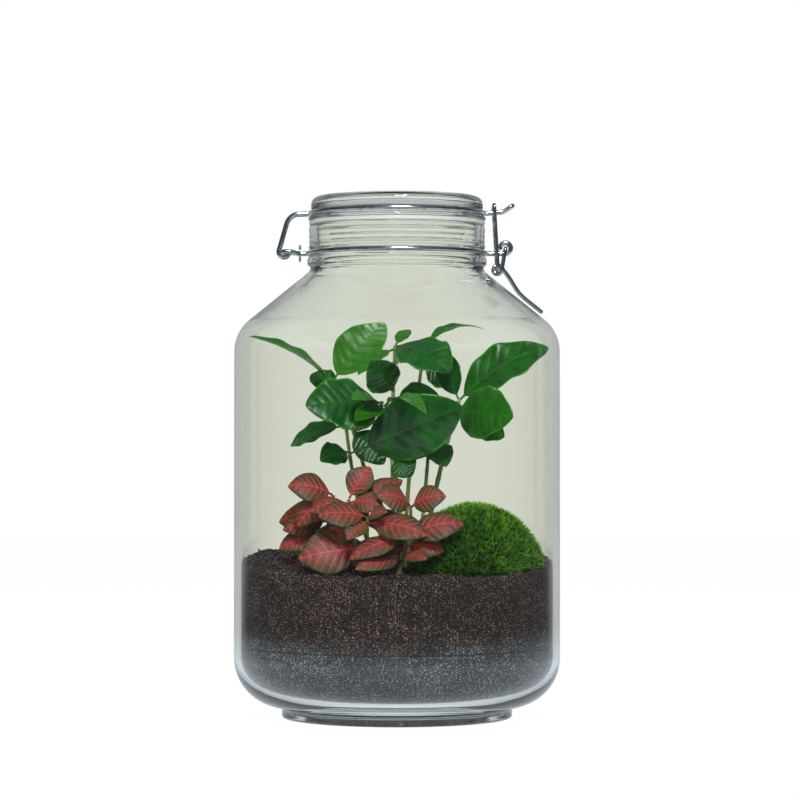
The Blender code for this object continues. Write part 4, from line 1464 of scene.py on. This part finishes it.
COFFEE_INNER = leaf_table({
    "inner_coffee_1": ("coffee_stem_3", 1.0, (7, 16, 210), 8, 1.0, (-0.3, -0.9, 0.3), 0.2, 0.1, 0.5),
    "inner_coffee_2": ("coffee_stem_2", 0.93, (-47, 30, 184), 14, 2.0, (-0.3, -0.6, 0.8), 0.1, 0.12),
    "inner_coffee_3": ("coffee_stem_5", 0.93, (30, 34, 178), 18, 2.0, (0.2, -0.9, 0.3), 0.1, 0.1),
    "inner_coffee_4": ("coffee_stem_3", 0.7, (22, -2, 172), 20, 2.0, (0.1, -0.95, 0.3), 0.1, 0.1),
    "inner_coffee_5": ("coffee_stem_5", 0.98, (0, 44, 190), 16, 3.0, (-0.1, -0.4, 0.85), 0.1, 0.1),
    "inner_coffee_6": ("coffee_stem_2", 0.8, (-12, 14, 158), 18, 2.0, (0.1, -0.95, 0.3), 0.1, 0.1),
})

FITTONIA_INNER = leaf_table({
    "inner_fittonia_1": ("fittonia_stem_3", 0.9, (3, -30, 127), 13, 2.0, (0.0, -0.9, 0.4), -0.1, 0.1),
    "inner_fittonia_2": ("fittonia_stem_2", 0.7, (-37, -50, 100), 15, 2.5, (-0.1, -0.8, 0.6), -0.1, 0.1),
    "inner_fittonia_3": ("fittonia_stem_1", 0.75, (-15, -45, 104), 15, 2.5, (-0.1, -0.8, 0.6), -0.1, 0.1),
    "inner_fittonia_4": ("fittonia_stem_1", 0.6, (22, -50, 97), 14, 2.5, (0.1, -0.8, 0.6), -0.1, 0.1),
    "inner_fittonia_5": ("fittonia_stem_5", 0.75, (24, -64, 91), 14, 2.5, (0.1, -0.8, 0.6), -0.1, 0.1),
    "inner_fittonia_6": ("fittonia_stem_3", 0.5, (-44, -44, 95), 15, 2.5, (-0.2, -0.8, 0.6), -0.1, 0.1),
    "inner_fittonia_7": ("fittonia_stem_4", 0.6, (-59, -37, 101), 15, 2.5, (-0.3, -0.8, 0.5), -0.1, 0.1),
    "inner_fittonia_8": ("fittonia_stem_2", 0.55, (5, -59, 92), 14, 2.5, (0.0, -0.8, 0.6), -0.1, 0.1),
    "inner_fittonia_9": ("fittonia_stem_5", 0.6, (-13, -61, 91), 13, 2.5, (0.0, -0.8, 0.6), -0.1, 0.1),
    "inner_fittonia_10": ("fittonia_stem_5", 0.5, (15, -74, 87), 10, 2.0, (0.1, -0.85, 0.5), -0.1, 0.1),
    "inner_fittonia_11": ("fittonia_stem_4", 0.3, (-60, -26, 95), 14, 2.5, (-0.3, -0.8, 0.5), -0.1, 0.1),
    "inner_fittonia_12": ("fittonia_stem_3", 0.8, (-14, -34, 108), 14, 2.5, (0.1, -0.8, 0.6), -0.1, 0.1),
})


@dataclass
class Planting:
    """One kind of plant: its stems, its leaves, and how its blades are formed."""

    stems: dict[str, Stem]
    leaves: dict[str, Leaf]
    inner: dict[str, Leaf]
    roundness: float
    waves: float
    wave_height: float
    quilting: float
    side_veins: float
    thickness: float
    stem_slot: str
    leaf_slot: str
    pointed: float

    def half_width(self, leaf: Leaf, along: float) -> float:
        """Return the blade's half width in millimetres at a share of its length.

        Args:
            leaf: the leaf.
            along: share of the length from the stem.

        Returns:
            The half width, stalk included.
        """
        share = max(0.0, (along - leaf.stalk) / (1.0 - leaf.stalk))
        blade = math.sin(math.pi * min(share, 1.0) ** 0.95) ** self.roundness
        blade *= 1.0 - self.pointed * max(0.0, share - 0.6) ** 1.5
        return max(0.55 * (1.0 - share), leaf.width / 2 * blade, 0.05)

    def blade_mesh(self, name: str, leaf: Leaf) -> Mesh:
        """Build a leaf as a closed thin blade with quilting, a wavy rim and a raised midrib.

        Args:
            name: the mesh's name.
            leaf: the leaf.

        Returns:
            The mesh, with its blade and form maps.
        """
        stem = self.stems[leaf.stem]
        start, tip = stem.point(leaf.share), Vector(leaf.tip)
        outward = (tip - start).normalized()
        if leaf.share < 1.0:
            outward = (outward - Vector((0, 0, 1)) * outward.z * 0.9).normalized()
        base = start + outward * (stem.radius(leaf.share) * 0.7)
        chord = tip - base
        normal = Vector(leaf.face)
        normal = (normal - chord * (normal.dot(chord) / chord.length_squared)).normalized()
        side = chord.cross(normal).normalized()
        stations, across = 56, 24
        phase = sum(ord(letter) for letter in name) * 0.7
        top, bottom, blade_uv, form_uv = [], [], [], []
        for station in range(stations + 1):
            along = station / stations
            half = self.half_width(leaf, along)
            widest = leaf.width / 2
            middle = base + chord * along + normal * (leaf.arch * 4.0 * along * (1.0 - along))
            middle -= normal * (leaf.arch * 0.5 * max(0.0, along - 0.7) ** 2 * 10.0 * 0.3)
            share = max(0.0, (along - leaf.stalk) / (1.0 - leaf.stalk))
            for step in range(across + 1):
                lateral = 2.0 * step / across - 1.0
                out = abs(lateral)
                lift = leaf.cup * half * lateral ** 2
                wave = math.sin(share * self.waves * 2 * math.pi + phase + (1.3 if lateral > 0 else 0.0))
                fading = math.sin(math.pi * min(share, 1.0))
                lift += self.wave_height * widest * wave * out ** 3 * fading
                lean = 0.22 * out ** 1.35 * half / widest
                rib = abs(((share - lean) * self.side_veins) % 1.0 - 0.5) * 2.0
                room = min(1.0, out * 6.0) * min(1.0, half / widest * 1.5) * (1.0 - out ** 4)
                lift += self.quilting * (1.0 - (1.0 - rib) ** 2) * room
                point = middle + side * half * lateral + normal * lift
                rib_height = 0.35 * max(0.0, 1.0 - out * half / 0.8) * (1.0 - along * 0.7)
                thick = self.thickness * (1.0 - 0.8 * out ** 6) * 0.5
                if share <= 0.0:
                    thick = 0.5 * math.sqrt(max(0.0, 1.0 - lateral ** 2)) + 0.05
                top.append(point + normal * thick)
                bottom.append(point - normal * (thick + rib_height))
                blade_uv.append((share, (lateral + 1.0) / 2.0))
                form_uv.append((half / widest, leaf.fresh if share > 0.0 else 0.6))
        return self.close(name, top, bottom, stations, across, blade_uv, form_uv)

    @staticmethod
    def close(name: str, top: list[Vector], bottom: list[Vector], stations: int, across: int,
              blade_uv: Outline, form_uv: Outline) -> Mesh:
        """Join the two sides of a blade into one closed mesh.

        Args:
            name: the mesh's name.
            top: the upper side's grid.
            bottom: the under side's grid.
            stations: steps along the blade.
            across: steps over the blade.
            blade_uv: the blade map, for each point of one side.
            form_uv: the form map, for each point of one side.

        Returns:
            The mesh.
        """
        row = across + 1
        count = len(top)
        faces = []
        for station in range(stations):
            for step in range(across):
                here = station * row + step
                faces.append((here, here + row, here + row + 1, here + 1))
                faces.append((count + here, count + here + 1, count + here + row + 1, count + here + row))
        for station in range(stations):
            left = station * row
            right = left + across
            faces.append((left, count + left, count + left + row, left + row))
            faces.append((right, right + row, count + right + row, count + right))
        last = stations * row
        for step in range(across):
            faces.append((step, step + 1, count + step + 1, count + step))
            faces.append((last + step, count + last + step, count + last + step + 1, last + step + 1))
        mesh = bpy.data.meshes.new(name)
        mesh.from_pydata([tuple(vert * MM) for vert in top + bottom], [], faces)
        fixer = bmesh.new()
        fixer.from_mesh(mesh)
        bmesh.ops.recalc_face_normals(fixer, faces=fixer.faces)
        fixer.to_mesh(mesh)
        fixer.free()
        mesh.shade_smooth()
        set_uv(mesh, "blade", np.array(blade_uv + blade_uv))
        set_uv(mesh, "form", np.array(form_uv + form_uv))
        return mesh

    def stem_mesh(self, name: str, stem: Stem) -> Mesh:
        """Build a stem with low nodes and a thickened foot.

        Args:
            name: the mesh's name.
            stem: the stem.

        Returns:
            The mesh.
        """
        rings, sides = 44, 14
        verts = []
        for ring in range(rings + 1):
            share = ring / rings
            centre = stem.point(share)
            if ring == 0:
                centre.z -= 1.2
            knot = 0.16 * max(0.0, math.cos(share * 4 * 2 * math.pi)) ** 12
            foot = 0.45 * max(0.0, 1.0 - share * 14.0)
            radius = stem.radius(share) * (1.0 + knot + foot)
            for side in range(sides):
                angle = 2 * math.pi * side / sides
                verts.append(centre + Vector((math.cos(angle), math.sin(angle), 0.0)) * radius)
        faces = ring_faces(rings, sides)
        faces.append(tuple(reversed(range(sides))))
        faces.append(tuple(rings * sides + side for side in range(sides)))
        mesh = bpy.data.meshes.new(name)
        mesh.from_pydata([tuple(vert * MM) for vert in verts], [], faces)
        mesh.shade_smooth()
        return mesh

    def build(self, stem_surface: Material, leaf_surface: Material) -> list[Object]:
        """Build every stem and leaf.

        Args:
            stem_surface: the stems' material.
            leaf_surface: the leaves' material.

        Returns:
            The pieces.
        """
        made = []
        for name, stem in self.stems.items():
            mesh = self.stem_mesh(name, stem)
            made.append(add_piece("grown_" + name, mesh, stem_surface, "jar", (name,)))
        for name, leaf in self.leaves.items():
            mesh = self.blade_mesh(name, leaf)
            made.append(add_piece("grown_" + name, mesh, leaf_surface, "jar", (name,)))
        for name, leaf in self.inner.items():
            made.append(add_piece(name, self.blade_mesh(name, leaf), leaf_surface, "jar"))
        return made


# ---- studio ----------------------------------------------------------------------------
@dataclass
class Studio:
    """Pale floor that glows with painted light in the glass's reflections, plain soft lights and the camera.
    """

    distance: float = 1.605
    eye_height: float = 0.148
    side_step: float = 0.0016
    lens: float = 135.0
    tilt: float = 0.76
    backdrop_seen: Colour = (1.0, 1.0, 1.0, 1.0)
    backdrop_through: Colour = rgb(232, 233, 217)
    # painted glow that the floor shows in reflections: bright near the jar, dark further off, pale behind
    floor_glow_near: Colour = rgb(214, 224, 230)
    floor_glow_far: Colour = rgb(66, 68, 74)
    floor_glow_back: Colour = rgb(190, 194, 190)

    def camera(self) -> None:
        """Place the camera in front, at the height of the jar's middle."""
        data = bpy.data.cameras.new("camera")
        data.lens = self.lens
        data.sensor_width = 36.0
        data.clip_start, data.clip_end = 0.05, 20.0
        made = bpy.data.objects.new("camera", data)
        made.location = (self.side_step, -self.distance, self.eye_height)
        made.rotation_euler = (math.radians(90.0 + self.tilt), 0.0, 0.0)
        bpy.context.scene.collection.objects.link(made)
        bpy.context.scene.camera = made

    @staticmethod
    def band(tree: Tree, value: NodeSocket, low: float, high: float, soft: float) -> NodeSocket:
        """Return 1 where a value lies between two limits, with soft ends.

        Args:
            tree: the world's tree.
            value: the value.
            low: the lower limit.
            high: the upper limit.
            soft: the width of each soft end.

        Returns:
            The mask.
        """
        rise = tree.span(value, low - soft, low + soft)
        fall = tree.span(value, high - soft, high + soft, 1.0, 0.0)
        return tree.math("MULTIPLY", rise, fall)

    @staticmethod
    def turn(tree: Tree, side: NodeSocket, depth: NodeSocket) -> NodeSocket:
        """Return the angle round the jar's axis, 0 in front of it and half a turn behind it."""
        return tree.math("ARCTAN2", tree.math("ABSOLUTE", side), tree.math("MULTIPLY", depth, -1.0))

    @staticmethod
    def behind(tree: Tree, angle: NodeSocket) -> NodeSocket:
        """Return 1 for directions behind the jar, where the room is pale."""
        return tree.span(angle, math.radians(124.0), math.radians(150.0))

    def room(self, tree: Tree) -> NodeSocket:
        """Paint the room that glass and steel reflect: grey front, dark sides, pale back, faint windows."""
        side, depth, up = tree.split(tree.node("ShaderNodeTexCoord").outputs["Generated"])
        angle = self.turn(tree, side, depth)
        front = tree.span(angle, math.radians(66.0), math.radians(76.0), 1.0, 0.0)
        behind = self.behind(tree, angle)
        walls = tree.mix(front, rgb(46, 50, 56), rgb(74, 76, 80))
        walls = tree.mix(behind, walls, rgb(186, 190, 186))
        window = self.band(tree, angle, math.radians(121.0), math.radians(124.0), math.radians(1.0))
        window = tree.math("MULTIPLY", window, self.band(tree, up, -0.25, 0.55, 0.05))
        walls = tree.mix(tree.math("MULTIPLY", window, 0.5), walls, (0.9, 0.9, 0.9, 1.0))
        ceiling = tree.span(up, 0.3, 0.75)
        colour = tree.mix(ceiling, walls, rgb(84, 88, 94))
        return tree.mix(tree.span(up, -0.02, -0.3), colour, rgb(70, 74, 80))

    def world(self) -> None:
        """Light the scene with a room; its backdrop looks white, and grey-green through glass."""
        world = bpy.data.worlds.new("pale_room")
        bpy.context.scene.world = world
        world.use_nodes = True
        tree = Tree(world.node_tree)
        world.node_tree.nodes.clear()
        path = tree.node("ShaderNodeLightPath")
        through = tree.mix(self.straight(tree, path), self.room(tree), self.backdrop_through)
        colour = tree.mix(path.outputs["Is Camera Ray"], through, self.backdrop_seen)
        back = tree.node("ShaderNodeBackground")
        tree.set(back.inputs["Color"], colour)
        output = tree.node("ShaderNodeOutputWorld")
        tree.set(output.inputs["Surface"], back.outputs["Background"])

    @staticmethod
    def straight(tree: Tree, path: Node) -> NodeSocket:
        """Return 1 for a ray that came through glass without a bounce elsewhere."""
        bounces = tree.math("ADD", path.outputs["Diffuse Depth"], path.outputs["Glossy Depth"])
        direct = tree.math("LESS_THAN", bounces, 0.5)
        return tree.math("MULTIPLY", path.outputs["Is Transmission Ray"], direct)

    @staticmethod
    def keep_off(light: Object, pieces: list[Object]) -> None:
        """Keep a light's mirror image off some pieces.

        Args:
            light: the light.
            pieces: the pieces that don't mirror it.
        """
        group = bpy.data.collections.new(light.name + "_not_mirrored")
        for piece in pieces:
            group.objects.link(piece)
        for item in group.collection_objects:
            item.light_linking.link_state = "EXCLUDE"
        light.light_linking.receiver_collection = group

    def panel(self, name: str, place: Place, size: Pair, watts: float,
              glass: list[Object], reflected: bool = False) -> None:
        """Add a soft panel that points at the jar.

        Args:
            name: the light's name.
            place: where it stands.
            size: its width and height.
            watts: its power.
            glass: pieces that never mirror it.
            reflected: whether other glossy surfaces mirror it.
        """
        data = bpy.data.lights.new(name, "AREA")
        data.shape = "RECTANGLE"
        data.size, data.size_y = size
        data.energy = watts
        made = bpy.data.objects.new(name, data)
        made.location = place
        made.rotation_euler = (Vector((0.0, 0.0, 0.15)) - Vector(place)).to_track_quat("-Z", "Y").to_euler()
        made.visible_glossy = reflected
        made.visible_transmission = False
        bpy.context.scene.collection.objects.link(made)
        if reflected:
            self.keep_off(made, glass)

    def floor(self) -> None:
        """Lay a floor that glows: the camera sees the white backdrop, rays straight through the glass see the
        grey-green backdrop, and reflections show a painted glow, bright near the jar, dark further off and
        pale behind; light bouncing off the plants meets a plain pale floor.
        """
        mesh = bpy.data.meshes.new("floor")
        mesh.from_pydata([(-3, -3, 0), (3, -3, 0), (3, 3, 0), (-3, 3, 0)], [], [(0, 1, 2, 3)])
        made = bpy.data.objects.new("floor", mesh)
        bpy.context.scene.collection.objects.link(made)
        surface, tree, shader, output = new_material("pale_floor")
        shader.inputs["Base Color"].default_value = rgb(226, 230, 233)
        shader.inputs["Roughness"].default_value = 0.8
        path = tree.node("ShaderNodeLightPath")
        away = tree.node("ShaderNodeVectorMath", operation="LENGTH")
        tree.set(away.inputs[0], tree.place())
        side, depth, _ = tree.split(tree.place())
        angle = self.turn(tree, side, depth)
        # painted glow in reflections: bright near the jar, dark further off, pale behind
        far = tree.mix(self.behind(tree, angle), self.floor_glow_far, self.floor_glow_back)
        mirrored = tree.mix(tree.span(away.outputs["Value"], 0.25, 0.9), self.floor_glow_near, far)
        through = tree.mix(self.straight(tree, path), mirrored, self.backdrop_through)
        glow = tree.node("ShaderNodeEmission")
        tree.set(glow.inputs["Color"], tree.mix(path.outputs["Is Camera Ray"], through, self.backdrop_seen))
        shaded = tree.math("MULTIPLY", path.outputs["Is Camera Ray"], 0.012)
        lit = tree.math("SUBTRACT", 1.0, path.outputs["Is Diffuse Ray"])
        share = tree.math("SUBTRACT", lit, shaded, clamp=True)
        tree.blend(output, share, shader.outputs["BSDF"], glow.outputs["Emission"])
        mesh.materials.append(surface)

    def build(self, glass: list[Object]) -> None:
        """Build the whole studio.

        Args:
            glass: the jar's glass, which mirrors the room and not the key panel.
        """
        self.camera()
        self.world()
        self.floor()
        self.panel("key_panel", (0.1, -0.95, 1.15), (0.3, 0.3), 17.0, glass, reflected=True)
        self.panel("front_fill", (-0.9, -1.2, 0.6), (1.2, 1.2), 16.0, glass)
        self.panel("right_fill", (1.2, -0.6, 0.5), (0.8, 1.2), 9.0, glass)
        self.panel("back_fill", (0.0, 1.0, 1.1), (1.0, 0.6), 16.0, glass)


def main() -> None:
    """Build the terrarium's looks in order."""
    logging.basicConfig(level=logging.INFO, format="%(message)s")
    effects = Effects()
    glass = GlassFinish().build(effects)
    seal = SealFinish().build(effects)
    steel = WireFinish().build(effects)
    soil = BedFinish("potting_soil_grain").build(effects)
    grit = BedFinish("drainage_grain").build(effects)
    moss = MossFinish().build(effects)
    coffee_stem = StemFinish("coffee_stem_skin", rgb(104, 124, 60), rgb(150, 166, 92)).build(effects)
    coffee_leaf = LeafFinish(
        "coffee_leaf_skin", Veining.FEATHER, blade=rgb(8, 66, 9), other=rgb(18, 98, 14),
        vein=rgb(62, 130, 36), rim=rgb(62, 136, 16), underside=rgb(56, 112, 40), roughness=0.3, coat=0.8,
        side_veins=8.0).build(effects)
    fittonia_stem = StemFinish(
        "nerve_plant_stem_skin", rgb(96, 84, 50), rgb(140, 120, 80), 0.7).build(effects)
    fittonia_leaf = LeafFinish(
        "nerve_plant_leaf_skin", Veining.NET, blade=rgb(44, 54, 22), other=rgb(104, 66, 38),
        vein=rgb(232, 62, 80), rim=rgb(46, 72, 26), underside=rgb(120, 64, 60), roughness=0.52, coat=0.08,
        side_veins=7.0).build(effects)

    jar = Jar().build(glass)
    Studio().build([jar])
    Lid().build(glass, seal)
    Wirework().build(steel)
    PlantingBed().build(soil, grit)
    MossCushion().build(moss, moss)
    coffee = Planting(
        COFFEE_STEMS, COFFEE_LEAVES, COFFEE_INNER, roundness=0.65, waves=3.0, wave_height=0.08, quilting=0.16,
        side_veins=8.0, thickness=0.5, stem_slot="coffee_stem", leaf_slot="coffee_leaf", pointed=0.4)
    coffee.build(coffee_stem, coffee_leaf)
    nerve_plants = Planting(
        FITTONIA_STEMS, FITTONIA_LEAVES, FITTONIA_INNER, roundness=0.7, waves=2.0, wave_height=0.04,
        quilting=0.22, side_veins=6.0, thickness=0.5, stem_slot="fittonia_stem", leaf_slot="fittonia_leaf",
        pointed=0.4)
    nerve_plants.build(fittonia_stem, fittonia_leaf)
    bpy.context.scene.view_settings.view_transform = "Standard"


if __name__ == "__main__":
    main()
